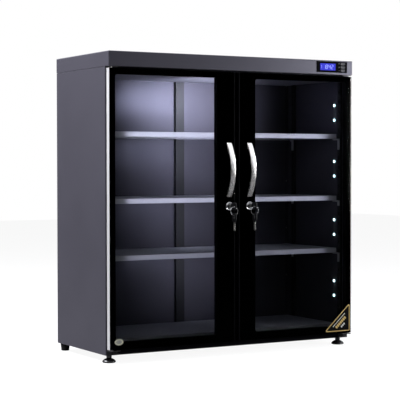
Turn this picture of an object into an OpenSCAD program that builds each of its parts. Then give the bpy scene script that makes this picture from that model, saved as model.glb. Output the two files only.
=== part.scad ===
// Camera dry cabinet: a steel body on feet with two glazed doors, shelves, a drying unit and a lit interior.
// Frame: X across, Y from the front to the back, Z up, origin on the floor under the middle of the whole outline.

/* [Cabinet] */
// Overall width
cab_w = 800; // [760:5:860]
// Depth from the face of the doors to the back panel
cab_d = 345; // [330:5:420]
// Height of the body above its feet
cab_h = 820; // [800:5:900]
// Height of the feet under the body
foot_h = 22; // [19:1:30]
// Thickness of the sheet steel
steel_t = 1.2; // [0.8:0.1:1.6]
// Height of the cap that holds the electronics
cap_h = 41; // [40:1:56]
// Height of the groove between the cap and the side panels
seam_h = 1; // [0.6:0.1:2]
// Width of the flanges folded inward round the body
flange_w = 15; // [13:1:16]
// Drop of the ceiling below the cap
ceiling_drop = 14; // [12:1:16]
// Height of the rail under the doors
rail_low_h = 32; // [30:1:34]
// Height of the rail above the doors
rail_top_h = 17; // [16:0.5:20]
// Depth of the rails across the front of the body
rail_d = 18; // [14:1:18]
// Width of the upright between the doors
mullion_w = 28; // [24:1:28]
// Depth of that upright
mullion_d = 25; // [22:1:30]
// Radius of the body's vertical edges
edge_r = 2.5; // [2:0.5:4]
// Clearance between neighbouring pieces of the body
fit_gap = 0.3; // [0.2:0.05:0.4]

/* [Doors] */
// Depth of a door without its seal
door_t = 20; // [18:1:22]
// Gap behind a door that its seal fills
seal_gap = 3; // [3:0.1:4]
// Gap between the two doors
door_gap = 15; // [13:0.5:17]
// How far a door stands in from the side of the cabinet
door_side = 3; // [2:0.5:5]
// Height of the doors' lower edge above the body's underside
door_under = 16.5; // [15:0.5:20]
// Gap between the doors and the cap
door_over = 5; // [4:0.5:7]
// Thickness of the door glass
glass_t = 4; // [3:0.5:5]
// Thickness of the bright strip on a door's outer edge
trim_t = 1.2; // [0.8:0.1:1.6]
// Width of a door's outer stile beside the window
stile_out = 17.4; // [16:0.2:22]
// Width of a door's inner stile beside the window
stile_in = 55.5; // [54:0.5:60]
// Height of a door's rail above the window
door_rail_top = 16; // [15:0.5:20]
// Height of a door's rail below the window
door_rail_low = 21; // [20:0.5:26]
// Width of the seal strip
seal_w = 6; // [5:0.2:6.4]
// Thickness of the seal strip
seal_t = 2.7; // [2.4:0.05:2.7]

/* [Hinges] */
// Distance of a hinge pin from the door's outer edge
pin_in = 7; // [7:0.25:8]
// Distance of a hinge pin behind the door glass
pin_back = 4; // [4:0.5:5]
// Diameter of a hinge pin
pin_d = 6; // [5:0.5:6]
// Running clearance of a turning pin or plug, on the radius
run_gap = 0.05; // [0.03:0.01:0.08]
// Thickness of a hinge leaf
leaf_t = 2; // [1.6:0.1:2.5]
// Length of a hinge leaf along the cabinet
leaf_l = 34; // [28:1:44]
// Diameter of the boss round a pin in the door
boss_d = 9.6; // [9:0.2:10]
// Length of that boss
boss_l = 12; // [8:1:14]

/* [Handles] */
// Length of a handle
handle_l = 152; // [130:1:170]
// Width of a handle's bar
handle_w = 15; // [13:0.5:18]
// How far a handle stands out from the door
handle_out = 24.5; // [20:0.5:28]
// Thickness of a handle at its middle
handle_t = 4.5; // [4:0.1:6]
// Height of one foot of a handle on the door
handle_foot = 14; // [12:0.5:16]
// Height of the handles' middle above the body's underside
handle_z = 500; // [480:5:560]
// Distance of the left handle and lock from the middle of the cabinet
left_lock_x = 25.8; // [25.6:0.1:28]
// Distance of the right handle and lock from the middle of the cabinet
right_lock_x = 41.6; // [38:0.1:42]
// Diameter of the screws in the doors and the body
screw_d = 4; // [3:0.5:4]

/* [Locks] */
// Height of the locks above the body's underside
lock_z = 398; // [390:1:400]
// Diameter of a lock's round face
lock_face_d = 24; // [22:0.5:26]
// Thickness of a lock's round face
lock_face_t = 3; // [2:0.5:4]
// Diameter of a lock's threaded barrel
barrel_d = 17; // [16:0.5:17]
// Diameter of the plug that the key turns
plug_d = 12; // [11.5:0.5:13]
// How far a barrel reaches behind the door
barrel_back = 6; // [5.5:0.5:7]
// Thickness of the nut behind the door
nut_t = 4; // [3:0.5:4.5]
// Width of that nut across its flats
nut_af = 20; // [19.5:0.5:20.5]
// Thickness of the cam
cam_t = 2.5; // [2:0.1:3]
// Width of the cam
cam_w = 14; // [12:0.5:14]

/* [Keys] */
// Length of a key's head
head_l = 25; // [22:1:28]
// Width of a key's head
head_w = 21; // [18:1:22]
// Thickness of a key's head
head_t = 3; // [2.6:0.1:3.4]
// Length of a key's blade in front of the head
blade_l = 24; // [22:1:26]
// Width of a key's blade
blade_w = 7.6; // [6.6:0.2:8]
// Thickness of a key's blade
blade_t = 2; // [1.8:0.1:2.2]
// How much of an inserted key's blade stays in sight
blade_out = 10; // [8:0.5:11]
// Distance of the slot in a key's head from its end
slot_end = 4; // [3:0.5:5]
// Length of that slot
slot_l = 11; // [9:0.5:12]
// Radius of a key ring along its wire
ring_r = 11.7; // [11:0.1:13]
// Diameter of a key ring's wire
ring_wire = 1.6; // [1.4:0.1:1.8]
// Width of the slot in a key's head
slot_w = 5; // [4.6:0.2:5.6]
// Play of a ring in a slot
ring_play = 0.4; // [0.3:0.05:0.6]

/* [Shelves] */
// Height of the top shelf over the height of the body
shelf_top_share = 0.739; // [0.72:0.001:0.75]
// Height of the middle shelf over the height of the body
shelf_mid_share = 0.514; // [0.5:0.001:0.53]
// Height of the lower shelf over the height of the body
shelf_low_share = 0.323; // [0.31:0.001:0.34]
// Height of the floor tray above the body's underside
tray_z = 38.2; // [36:0.2:42]
// Height of a shelf's folded edge
lip_h = 14; // [12:0.5:16]
// Gap between the ends of the shelves and the uprights
shelf_play = 2.8; // [2.4:0.1:4]
// Setback of the shelves from the face of the doors
shelf_set = 66; // [64:1:70]
// Width of a slotted upright
upright_w = 15; // [12:1:18]
// Depth of a slotted upright
upright_d = 7; // [6:0.5:8]
// Setback of the front uprights' middle from the face of the doors
upright_front = 57; // [56:1:60]
// Distance of the rear uprights' middle from the back panel
upright_rear = 40; // [34:1:46]
// Pitch of the slots in the uprights
slot_pitch = 28; // [26:1:40]
// Width of the channel up the middle of the back
post_w = 28; // [24:1:34]
// Depth of that channel
post_d = 13; // [10:1:15]

/* [Lighting] */
// Setback of the light strips from the face of the doors
light_set = 87.5; // [84:0.5:92]
// Width of a light strip
strip_w = 10; // [8:1:12]
// Thickness of a light strip
strip_t = 1.6; // [1.2:0.1:2]
// Side of one lamp
lamp_w = 7; // [5:0.5:8]
// Thickness of one lamp
lamp_t = 1.6; // [1.2:0.1:2]
// Distance between the two lamps of a pair
lamp_pitch = 44; // [40:1:48]
// How far a light strip runs past its lamps
strip_over = 12; // [8:1:20]

/* [Control panel] */
// Width of the panel
panel_w = 108.5; // [104:0.5:112]
// Height of the panel
panel_h = 32; // [30:0.5:34]
// Distance of the panel from the side of the cap
panel_in = 19.95; // [18:0.05:30]
// Height of the panel's middle above the cap's middle
panel_up = 1; // [0:0.5:2]
// Thickness of the panel in front of the cap
panel_out = 0.8; // [0.5:0.1:1.2]
// Width of the display over the panel's
lcd_w_share = 0.498; // [0.46:0.001:0.51]
// Height of the display
lcd_h = 19.6; // [18:0.2:21]
// Distance of the display's middle left of the panel's, over the panel's width
lcd_off_share = 0.131; // [0.11:0.001:0.135]
// Distance of the buttons' middle right of the panel's, over the panel's width
button_off_share = 0.352; // [0.345:0.001:0.36]
// Width of a button over the panel's
button_w_share = 0.1475; // [0.14:0.0005:0.15]
// Height of a button
button_h = 6.4; // [5:0.2:7]
// Distance between neighbouring buttons
button_pitch = 9.6; // [8.8:0.2:10]
// Travel of a button
button_travel = 1.2; // [0.8:0.1:1.5]

/* [Drying unit] */
// Width of the drying unit
dryer_w = 96; // [88:1:104]
// Height of the drying unit
dryer_h = 168; // [150:1:172]
// Depth of the drying unit
dryer_d = 62; // [56:1:66]
// Distance of its middle from the middle of the cabinet
dryer_x = 180; // [170:1:190]
// Wall of the drying unit
dryer_t = 2; // [1.6:0.1:2.4]
// Number of louvres in its cover
louvres = 9; // [6:1:10]

/* [Feet] */
// Diameter of a levelling foot
foot_d = 37; // [32:1:40]
// Height of a levelling foot's bell
bell_h = 13; // [11:0.5:14]
// Diameter of a levelling foot's stem
stem_d = 7; // [6:0.5:8]
// Setback of the front feet from the face of the doors
foot_set = 45; // [45:1:52]
// Distance of the feet from the side of the cabinet
foot_in = 20.5; // [20:0.5:26]
// Diameter of a rear foot at its top
rear_foot_d = 28; // [24:1:30]
// Distance of the rear feet's middle from the back panel
rear_foot_set = 16; // [15:1:24]

/* [Hidden] */
$fn = 48;
over = 1; // overrun of every cut

// Main planes
key_reach = lock_face_t + blade_out + head_l;
head_out = 1.5; // how far screw heads and the rear fittings stand out at the back
half_w = cab_w / 2;
front_y = key_reach - (cab_d + key_reach + head_out) / 2;
back_y = front_y + cab_d;
base_z = foot_h;
top_z = base_z + cab_h;
cap_z = top_z - cap_h;
body_y = front_y + door_t + seal_gap;
wall_x = half_w - steel_t;
wall_y = back_y - steel_t;
side_top_z = cap_z - seam_h;
flange_x = half_w - flange_w;
pan_z = base_z + 2 * steel_t;
ceiling_z = cap_z - ceiling_drop;
rail_z = cap_z - rail_top_h;
plinth_z = base_z + rail_low_h;
groove_d = 4; // depth of the groove under the cap

// Doors
door_x0 = door_gap / 2;
door_x1 = half_w - door_side;
door_z0 = base_z + door_under;
door_z1 = cap_z - door_over;
frame_x1 = door_x1 - trim_t;
frame_y = front_y + glass_t;
door_back = front_y + door_t;
win_x0 = door_x0 + stile_in;
win_x1 = door_x1 - stile_out;
win_z0 = door_z0 + door_rail_low;
win_z1 = door_z1 - door_rail_top;
pin_x = door_x1 - pin_in;
pin_y = frame_y + pin_back;
leaf_up = 14; // height of the lower bracket above the body's underside
leaf_z = base_z + leaf_up;
washer_t = door_z0 - leaf_z;
glass_gap = 0.3; // clearance round what passes through the glass
seal_in = 1.7; // setback of the seal from the gap between the doors
seal_side = 7.6; // setback of the seal from the door's outer edge
seal_top = 7.5; // distance of the seal's middle from the door's upper edge
seal_low = 8.5; // distance of the seal's middle from the door's lower edge

bracket_screw_xs = [half_w - leaf_l + screw_d * 3 / 2, flange_x - 3 * fit_gap - screw_d];
leaf_screw_z = 6;
pin_in_door = boss_l - 2; // how far a hinge pin reaches into the door

// Body screws
screw_col_x = half_w - flange_w / 2;
screw_rows = 6;
side_screw_zs = [for (i = [0 : screw_rows - 1])
    base_z + flange_w + i * (side_top_z - base_z - 2 * flange_w) / (screw_rows - 1)];
edge_screw_n = 4;
edge_screw_xs = [for (i = [0 : edge_screw_n - 1]) (i + 0.5) * 2 * flange_x / edge_screw_n - flange_x];
edge_screw_zs = [base_z + flange_w / 2 + steel_t, side_top_z - flange_w / 2];

// Handles
handle_end = 1; // thickness of a handle at its very ends
handle_rise = handle_out - handle_end;
handle_half = handle_l / 2;
grip_half = handle_half - handle_foot;
grip_rise = handle_out - handle_t;
handle_r = (handle_half * handle_half + handle_rise * handle_rise) / (2 * handle_rise);
grip_r = (grip_half * grip_half + grip_rise * grip_rise) / (2 * grip_rise);
handle_mid_z = base_z + handle_z;
screw_set = 4; // distance of a handle screw outside the grip
screw_at = grip_half + screw_set;
screw_bite = 4; // how far a screw bites into a handle
head_d = 2 * screw_d;
head_t1 = 2; // height of a screw head behind a door

// Locks and keys
lock_mid_z = base_z + lock_z;
barrel_y = door_back + barrel_back;
cam_set = 1; // distance of a cam behind its barrel
cam_y = barrel_y + cam_set;
cam_end = cam_y + cam_t;
tail_w = 6.6; // across the flats of the plug's square tail
tail_head_d = 11; // head that holds the cam on the tail
cam_reach = 4; // distance of a turned cam's tip from the middle of the cabinet
cam_play = 1.5; // room round a cam in the upright's slot
blade_play = 0.15;
head_y = front_y - lock_face_t - blade_out;
blade_in = blade_l - blade_out;
key_r = 7; // corner radius of a key's head
key_notches = 4;
ring_at = 10; // distance of a ring from the end of an inserted key
ring_y = head_y - head_l + ring_at;
ring_pivot_z = lock_mid_z - slot_w / 2 + ring_wire / 2 + ring_play;
spare_pivot_z = ring_pivot_z - 2 * ring_r;
spare_top_z = spare_pivot_z + ring_wire / 2 + ring_play + slot_end;

// Shelves
shelf_y0 = front_y + shelf_set;
shelf_y1 = wall_y - post_d - fit_gap;
shelf_zs = [base_z + tray_z, base_z + shelf_low_share * cab_h, base_z + shelf_mid_share * cab_h,
    base_z + shelf_top_share * cab_h];
upright_x = wall_x - upright_d;
shelf_half = upright_x - shelf_play;
upright_ys = [front_y + upright_front, back_y - upright_rear];
slot_h = 10;
slot_t = 5;
slot_z0 = pan_z + slot_pitch;
clip_arm = 4; // height of a clip's arm
clip_in = 4; // how far a clip reaches under a shelf
clip_w = 8;
clip_hook = 6; // height of a clip's hook
clip_run = 14; // how far a clip runs under a shelf from its front

// Lighting
light_y = front_y + light_set;
light_shares = [0.457, 0.391, 0.438, 0.406];
light_ceilings = [shelf_zs[1], shelf_zs[2], shelf_zs[3], ceiling_z];

// Control panel
panel_z = (cap_z + top_z) / 2 + panel_up;
panel_x = half_w - panel_in - panel_w / 2;
lcd_w = lcd_w_share * panel_w;
lcd_x = panel_x - lcd_off_share * panel_w;
button_w = button_w_share * panel_w;
button_x = panel_x + button_off_share * panel_w;
panel_back = 8; // distance of the control board behind the cap's face
bezel_wall = 3;
button_play = 0.15;
button_out = 1.8; // how far a button stands out of the panel
button_flange = 1; // collar that keeps a button in the panel
button_tail = 4.5; // depth of a button behind the cap's face
board_t = 1.6;
switch_w = 5;
switch_t = panel_back - button_tail - button_travel - fit_gap;
lcd_t = 5;
lcd_set = 0.4; // setback of the display from the panel's face
supply = [120, 74, 26];
supply_in = 130; // distance of the power supply's middle from the side of the cap
supply_x = supply_in - half_w;
supply_set = 20; // distance of the power supply from the back
supply_y = wall_y - supply_set;
inlet_in = 70; // distance of the inlet's middle from the side of the cap
inlet_x = inlet_in - half_w;
inlet_z = (cap_z + top_z) / 2;
inlet_flange = [48, 30];
inlet_body = [31, 24];
inlet_hole = [26, 18];
inlet_depth = 19;
inlet_floor = 3;
blade_pin = [2, 4, 13];
pin_off = 7;

// Drying unit
dryer_x0 = dryer_x - dryer_w / 2;
dryer_x1 = dryer_x + dryer_w / 2;
dryer_z0 = shelf_zs[0];
dryer_z1 = dryer_z0 + dryer_h;
dryer_y0 = wall_y - dryer_d;
cover_y = dryer_y0 + dryer_t;
flap_w = dryer_w - 2 * dryer_t - 2 * fit_gap;
flap_h = 46;
flap_t = 2;
flap_pin = 3;
flap_up = 60; // height of the flap's pin in the drying unit
flap_pin_z = dryer_z0 + flap_up;
flap_pin_y = wall_y - dryer_t - fit_gap - flap_pin / 2;
vent = [70, 40];
vent_up = 34; // height of the vent's middle in the drying unit
vent_z = dryer_z0 + vent_up;
rib_up = 6; // height of the shelf under the desiccant above the flap's pin
rib_z = flap_pin_z + rib_up;
louvre_w = 70;
louvre_h = 3.5;
louvre_pitch = 12;
sensor = [30, 24, 12];
grille_rim = 6;
grille_slot = 3.5;

// Feet
foot_x = half_w - foot_in;
foot_y = front_y + foot_set;
stem_up = 8; // how far a stem reaches above the pan
nut_d = 13; // weld nut of a levelling foot
weld_t = 5;
rear_y = back_y - rear_foot_set;
rear_in = 4; // distance of a rear foot from the side
rear_x = half_w - rear_foot_d / 2 - rear_in;
foot_nut_t = 4; // nut that locks a levelling foot
rear_low_share = 0.8; // lower diameter of a rear foot over its upper one

// A box between two opposite corners
module block(lo, hi) {
    translate(lo) cube([hi[0] - lo[0], hi[1] - lo[1], hi[2] - lo[2]]);
}

// A round bar along Y
module bar_y(x, z, y0, y1, d) {
    translate([x, y0, z]) rotate([-90, 0, 0]) cylinder(d = d, h = y1 - y0);
}

// A rectangle with round corners
module round_rect(lo, hi, r) {
    translate([lo[0] + r, lo[1]]) square([hi[0] - lo[0] - 2 * r, hi[1] - lo[1]]);
    translate([lo[0], lo[1] + r]) square([hi[0] - lo[0], hi[1] - lo[1] - 2 * r]);
    for (x = [lo[0] + r, hi[0] - r], z = [lo[1] + r, hi[1] - r]) translate([x, z]) circle(r);
}

// A round-cornered plate that stands upright, from y0 to y1, with its corners in x and z
module plate_y(lo, hi, r, y0, y1) {
    translate([0, y1, 0]) rotate([90, 0, 0]) linear_extrude(y1 - y0) round_rect(lo, hi, r);
}

// The right-hand piece, or its mirror image on the left
module handed(side) {
    if (side < 0) mirror([1, 0, 0]) children();
    else children();
}

function lock_x(side) = side < 0 ? left_lock_x : right_lock_x;

// Body

module top_cap() color("dimgray") difference() {
    intersection() {
        translate([0, 0, cap_z]) linear_extrude(cap_h) round_rect([-half_w, front_y], [half_w, back_y], edge_r);
        plate_y([-half_w, cap_z - 2 * edge_r], [half_w, top_z], edge_r, front_y, back_y);
        translate([-half_w, 0, 0]) rotate([90, 0, 90]) linear_extrude(cab_w)
            round_rect([front_y, cap_z - 2 * edge_r], [back_y, top_z], edge_r);
    }
    block([-wall_x, front_y + steel_t, cap_z + steel_t], [wall_x, wall_y, top_z - steel_t]);
    block([-flange_x, body_y + flange_w, cap_z - over], [flange_x, wall_y - flange_w, cap_z + steel_t + over]);
    block([panel_x - panel_w / 2 + bezel_wall, front_y - over, panel_z - panel_h / 2 + bezel_wall],
          [panel_x + panel_w / 2 - bezel_wall, front_y + steel_t + over, panel_z + panel_h / 2 - bezel_wall]);
    block([inlet_x - inlet_body[0] / 2, wall_y - over, inlet_z - inlet_body[1] / 2],
          [inlet_x + inlet_body[0] / 2, back_y + over, inlet_z + inlet_body[1] / 2]);
}

module side_plan(t, r) {
    round_rect([flange_x - 2 * edge_r, body_y + t], [half_w - t, wall_y - t], r);
}

module side_panel(side) handed(side) color("dimgray") difference() {
    union() {
        translate([0, 0, base_z]) linear_extrude(side_top_z - base_z) side_plan(0, edge_r);
        block([flange_x - over, body_y + groove_d, side_top_z - over],
              [half_w - groove_d, wall_y - groove_d, cap_z]);
    }
    translate([0, 0, base_z + steel_t]) linear_extrude(side_top_z - base_z - 2 * steel_t)
        side_plan(steel_t, edge_r - steel_t);
    block([flange_x - 3 * edge_r, body_y - over, base_z - over], [flange_x, wall_y + over, cap_z + over]);
    for (z = side_screw_zs) bar_y(screw_col_x, z, wall_y - steel_t - over, wall_y + over, screw_d);
}

module back_holes(y0, y1) {
    for (x = [-screw_col_x, screw_col_x], z = side_screw_zs) bar_y(x, z, y0, y1, screw_d);
    for (x = edge_screw_xs, z = edge_screw_zs) bar_y(x, z, y0, y1, screw_d);
}

module back_panel() color("dimgray") difference() {
    block([-half_w + edge_r, wall_y, base_z], [half_w - edge_r, back_y, side_top_z]);
    block([dryer_x - vent[0] / 2, wall_y - over, vent_z - vent[1] / 2],
          [dryer_x + vent[0] / 2, back_y + over, vent_z + vent[1] / 2]);
    back_holes(wall_y - over, back_y + over);
}

module base_pan() color("gray") difference() {
    union() {
        block([-wall_x, body_y + steel_t, base_z + steel_t], [wall_x, wall_y - steel_t, pan_z]);
        block([-flange_x, wall_y - steel_t, base_z + steel_t], [flange_x, wall_y, base_z + steel_t + flange_w]);
        for (x = [-foot_x, foot_x]) translate([x, foot_y, pan_z - steel_t / 2]) cylinder(d = nut_d, h = weld_t);
    }
    for (x = [-foot_x, foot_x])
        translate([x, foot_y, base_z]) cylinder(d = stem_d + 2 * run_gap, h = weld_t + 2 * steel_t + over);
    for (x = edge_screw_xs) bar_y(x, edge_screw_zs[0], wall_y - steel_t - over, wall_y + over, screw_d);
}

module ceiling_panel() color("gray") difference() {
    union() {
        block([-wall_x, body_y + steel_t, ceiling_z], [wall_x, wall_y - steel_t, ceiling_z + steel_t]);
        for (x = [-wall_x, wall_x - steel_t])
            block([x, body_y + steel_t, ceiling_z], [x + steel_t, wall_y - steel_t, side_top_z - steel_t]);
        block([-flange_x, wall_y - steel_t, ceiling_z], [flange_x, wall_y, side_top_z]);
    }
    for (x = edge_screw_xs) bar_y(x, edge_screw_zs[1], wall_y - steel_t - over, wall_y + over, screw_d);
}

module rail(z0, z1) difference() {
    block([-flange_x, body_y, z0], [flange_x, body_y + rail_d, z1]);
    block([-half_w, body_y + steel_t, z0 + steel_t], [half_w, body_y + rail_d + over, z1 - steel_t]);
}

module front_rails() color("black") {
    rail(base_z, plinth_z);
    rail(rail_z, cap_z);
}

module centre_mullion() color("black") difference() {
    block([-mullion_w / 2, body_y, plinth_z], [mullion_w / 2, body_y + mullion_d, rail_z]);
    block([-mullion_w / 2 + steel_t, body_y + steel_t, plinth_z - over],
          [mullion_w / 2 - steel_t, body_y + mullion_d + over, rail_z + over]);
    for (side = [-1, 1]) handed(side) cam_slot(lock_x(side));
}

// The slot that a cam swings into, high enough for the cam's corner on its way down
module cam_slot(x) {
    cam_l = x - cam_reach;
    corner = sqrt(cam_l * cam_l + cam_w * cam_w / 4);
    edge = x - mullion_w / 2;
    rise = sqrt(corner * corner - edge * edge);
    block([mullion_w / 2 - steel_t - over, cam_y - cam_play, lock_mid_z - cam_w / 2 - cam_play],
          [mullion_w / 2 + over, cam_end + cam_play, lock_mid_z + rise + cam_play]);
}

// Shelves

module tray(z, drop) difference() {
    block([-shelf_half, shelf_y0, z - drop], [shelf_half, shelf_y1, z]);
    block([-shelf_half + steel_t, shelf_y0 + steel_t, z - drop - over],
          [shelf_half - steel_t, shelf_y1 - steel_t, z - steel_t]);
}

module floor_tray() color("gray") difference() {
    tray(shelf_zs[0], shelf_zs[0] - pan_z);
    block([-shelf_half + steel_t, shelf_y0 - over, pan_z - over],
          [shelf_half - steel_t, shelf_y1 + over, shelf_zs[0] - lip_h]);
}

module shelf(i) color("silver") tray(shelf_zs[i], lip_h);

module shelf_uprights() color("gray") {
    for (side = [-1, 1], y = upright_ys) handed(side) difference() {
        block([upright_x, y - upright_w / 2, pan_z], [wall_x, y + upright_w / 2, ceiling_z]);
        block([upright_x + steel_t, y - upright_w / 2 + steel_t, pan_z - over],
              [wall_x + over, y + upright_w / 2 - steel_t, ceiling_z + over]);
        for (z = [slot_z0 : slot_pitch : ceiling_z - slot_h])
            block([upright_x - over, y - slot_t / 2, z - slot_h / 2],
                  [upright_x + steel_t + over, y + slot_t / 2, z + slot_h / 2]);
    }
    difference() {
        block([-post_w / 2, wall_y - post_d, pan_z], [post_w / 2, wall_y - steel_t, ceiling_z]);
        block([-post_w / 2 + steel_t, wall_y - post_d + steel_t, pan_z - over],
              [post_w / 2 - steel_t, wall_y + over, ceiling_z + over]);
    }
}

// One clip: an arm under the shelf, a leg down the upright and a hook through its slot
module clip(y, y0, y1, z) {
    hook_z = slot_z0 + slot_pitch * floor((z - clip_arm - slot_h / 2 - slot_z0) / slot_pitch);
    block([shelf_half - clip_in, y0, z - clip_arm], [upright_x, y1, z]);
    block([shelf_half + fit_gap, y - clip_w / 2, hook_z - clip_hook / 2], [upright_x, y + clip_w / 2, z]);
    block([upright_x - over, y - slot_t / 2 + fit_gap, hook_z - clip_hook / 2],
          [upright_x + 2 * steel_t, y + slot_t / 2 - fit_gap, hook_z + clip_hook / 2]);
}

module shelf_clips() color("silver")
    for (side = [-1, 1], i = [1 : 3]) handed(side) {
        clip(upright_ys[0], upright_ys[0] - clip_w / 2, shelf_y0 + clip_run, shelf_zs[i] - lip_h);
        clip(upright_ys[1], upright_ys[1] - clip_w / 2, upright_ys[1] + clip_w / 2, shelf_zs[i] - lip_h);
    }

// Lighting

function light_z(i) = shelf_zs[i] + light_shares[i] * (light_ceilings[i] - shelf_zs[i]);

module light_strips() color("white")
    for (side = [-1, 1], i = [0 : 3]) handed(side)
        block([wall_x - strip_t, light_y - strip_w / 2, light_z(i) - lamp_pitch / 2 - strip_over],
              [wall_x, light_y + strip_w / 2, light_z(i) + lamp_pitch / 2 + strip_over]);

module light_lamps() color("lightcyan")
    for (side = [-1, 1], i = [0 : 3], k = [-1, 1]) handed(side)
        translate([wall_x - strip_t, light_y, light_z(i) + k * lamp_pitch / 2]) rotate([0, -90, 0])
            linear_extrude(lamp_t) round_rect([-lamp_w / 2, -lamp_w / 2], [lamp_w / 2, lamp_w / 2], lamp_w / 6);

// Control panel

module oval(z, w, h, y0, y1) translate([button_x, y1, z]) rotate([90, 0, 0]) linear_extrude(y1 - y0) {
    square([w - h, h], center = true);
    for (k = [-1, 1]) translate([k * (w - h) / 2, 0]) circle(d = h);
}

module control_bezel() color("black") difference() {
    union() {
        plate_y([panel_x - panel_w / 2, panel_z - panel_h / 2], [panel_x + panel_w / 2, panel_z + panel_h / 2],
                steel_t, front_y - panel_out, front_y);
        block([panel_x - panel_w / 2 + bezel_wall + fit_gap, front_y - panel_out / 2,
               panel_z - panel_h / 2 + bezel_wall + fit_gap],
              [panel_x + panel_w / 2 - bezel_wall - fit_gap, front_y + panel_back,
               panel_z + panel_h / 2 - bezel_wall - fit_gap]);
    }
    block([panel_x - panel_w / 2 + 2 * bezel_wall, front_y + 2 * steel_t,
           panel_z - panel_h / 2 + 2 * bezel_wall],
          [panel_x + panel_w / 2 - 2 * bezel_wall, front_y + panel_back + over,
           panel_z + panel_h / 2 - 2 * bezel_wall]);
    block([lcd_x - lcd_w / 2 - fit_gap, front_y - panel_out - over, panel_z - lcd_h / 2 - fit_gap],
          [lcd_x + lcd_w / 2 + fit_gap, front_y + panel_back, panel_z + lcd_h / 2 + fit_gap]);
    for (k = [-1 : 1]) {
        oval(panel_z + k * button_pitch, button_w + 2 * button_play, button_h + 2 * button_play,
             front_y - panel_out - over, front_y + panel_back);
        oval(panel_z + k * button_pitch, button_w + button_flange + 2 * button_play, button_h + 2 * button_play,
             front_y + 2 * steel_t, front_y + panel_back + over);
    }
}

module lcd_display() color("royalblue") union() {
    block([lcd_x - lcd_w / 2, front_y - panel_out + lcd_set, panel_z - lcd_h / 2],
          [lcd_x + lcd_w / 2, front_y + lcd_t, panel_z + lcd_h / 2]);
    for (x = [lcd_x - lcd_w / 2, lcd_x + lcd_w / 2 - bezel_wall])
        block([x, front_y + lcd_t - over, panel_z - lcd_h / 2],
              [x + bezel_wall, front_y + panel_back, panel_z + lcd_h / 2]);
}

module control_board() color("darkgreen") {
    block([panel_x - panel_w / 2 + bezel_wall, front_y + panel_back, panel_z - panel_h / 2 + bezel_wall],
          [panel_x + panel_w / 2 - bezel_wall, front_y + panel_back + board_t, panel_z + panel_h / 2 - bezel_wall]);
    for (k = [-1 : 1])
        block([button_x - switch_w / 2, front_y + panel_back - switch_t, panel_z + k * button_pitch - switch_w / 2],
              [button_x + switch_w / 2, front_y + panel_back + board_t / 2,
               panel_z + k * button_pitch + switch_w / 2]);
}

module button(k) color("gray") union() {
    oval(panel_z + k * button_pitch, button_w, button_h, front_y - panel_out - button_out, front_y + button_tail);
    oval(panel_z + k * button_pitch, button_w + button_flange, button_h,
         front_y + 2 * steel_t + fit_gap, front_y + button_tail);
}

module power_supply() color("silver") difference() {
    block([supply_x - supply[0] / 2, supply_y - supply[1], ceiling_z + steel_t],
          [supply_x + supply[0] / 2, supply_y, ceiling_z + steel_t + supply[2]]);
    for (i = [1 : louvres])
        block([supply_x - supply[0] / 2 + i * supply[0] / (louvres + 1) - steel_t, supply_y - supply[1] / 2,
               ceiling_z + supply[2] - steel_t],
              [supply_x - supply[0] / 2 + i * supply[0] / (louvres + 1) + steel_t, supply_y - supply[1] / 4,
               ceiling_z + steel_t + supply[2] + over]);
}

module power_inlet() color("black") {
    difference() {
        union() {
            plate_y([inlet_x - inlet_flange[0] / 2, inlet_z - inlet_flange[1] / 2],
                    [inlet_x + inlet_flange[0] / 2, inlet_z + inlet_flange[1] / 2], edge_r, back_y,
                    back_y + head_out);
            block([inlet_x - inlet_body[0] / 2, back_y - inlet_depth, inlet_z - inlet_body[1] / 2],
                  [inlet_x + inlet_body[0] / 2, back_y + head_out / 2, inlet_z + inlet_body[1] / 2]);
        }
        plate_y([inlet_x - inlet_hole[0] / 2, inlet_z - inlet_hole[1] / 2],
                [inlet_x + inlet_hole[0] / 2, inlet_z + inlet_hole[1] / 2], edge_r,
                back_y - inlet_depth + inlet_floor, back_y + head_out + over);
    }
    for (p = [[-pin_off, -blade_pin[1] / 2], [0, blade_pin[1] / 2], [pin_off, -blade_pin[1] / 2]])
        block([inlet_x + p[0] - blade_pin[0] / 2, back_y - inlet_depth + over, inlet_z + p[1] - blade_pin[1] / 2],
              [inlet_x + p[0] + blade_pin[0] / 2, back_y - inlet_depth + inlet_floor + blade_pin[2],
               inlet_z + p[1] + blade_pin[1] / 2]);
}

module humidity_sensor() color("white") difference() {
    block([dryer_x - sensor[0] / 2, cover_y + sensor[1] / 2, dryer_z1],
          [dryer_x + sensor[0] / 2, cover_y + sensor[1] * 3 / 2, dryer_z1 + sensor[2]]);
    for (k = [-2 : 2])
        block([dryer_x + k * sensor[0] / 6 - steel_t, cover_y, dryer_z1 + sensor[2] / 2],
              [dryer_x + k * sensor[0] / 6 + steel_t, cover_y + sensor[1] / 2 + 2 * steel_t, dryer_z1 + sensor[2] * 3 / 4]);
}

// Drying unit

module dryer_case() color("whitesmoke") difference() {
    block([dryer_x0, cover_y, dryer_z0], [dryer_x1, wall_y, dryer_z1]);
    block([dryer_x0 + dryer_t, cover_y - over, dryer_z0 + dryer_t], [dryer_x1 - dryer_t, wall_y - dryer_t, rib_z]);
    block([dryer_x0 + dryer_t, cover_y - over, rib_z + dryer_t],
          [dryer_x1 - dryer_t, wall_y - dryer_t, dryer_z1 - dryer_t]);
    block([dryer_x - vent[0] / 2, wall_y - dryer_t - over, vent_z - vent[1] / 2],
          [dryer_x + vent[0] / 2, wall_y + over, vent_z + vent[1] / 2]);
    block([dryer_x0 + 2 * dryer_t, cover_y + dryer_t, rib_z - over],
          [dryer_x0 + 4 * dryer_t, wall_y - 3 * dryer_t, rib_z + dryer_t + over]);
    translate([dryer_x0 - over, flap_pin_y, flap_pin_z]) rotate([0, 90, 0])
        cylinder(d = flap_pin + 2 * run_gap, h = dryer_w + 2 * over);
}

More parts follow.
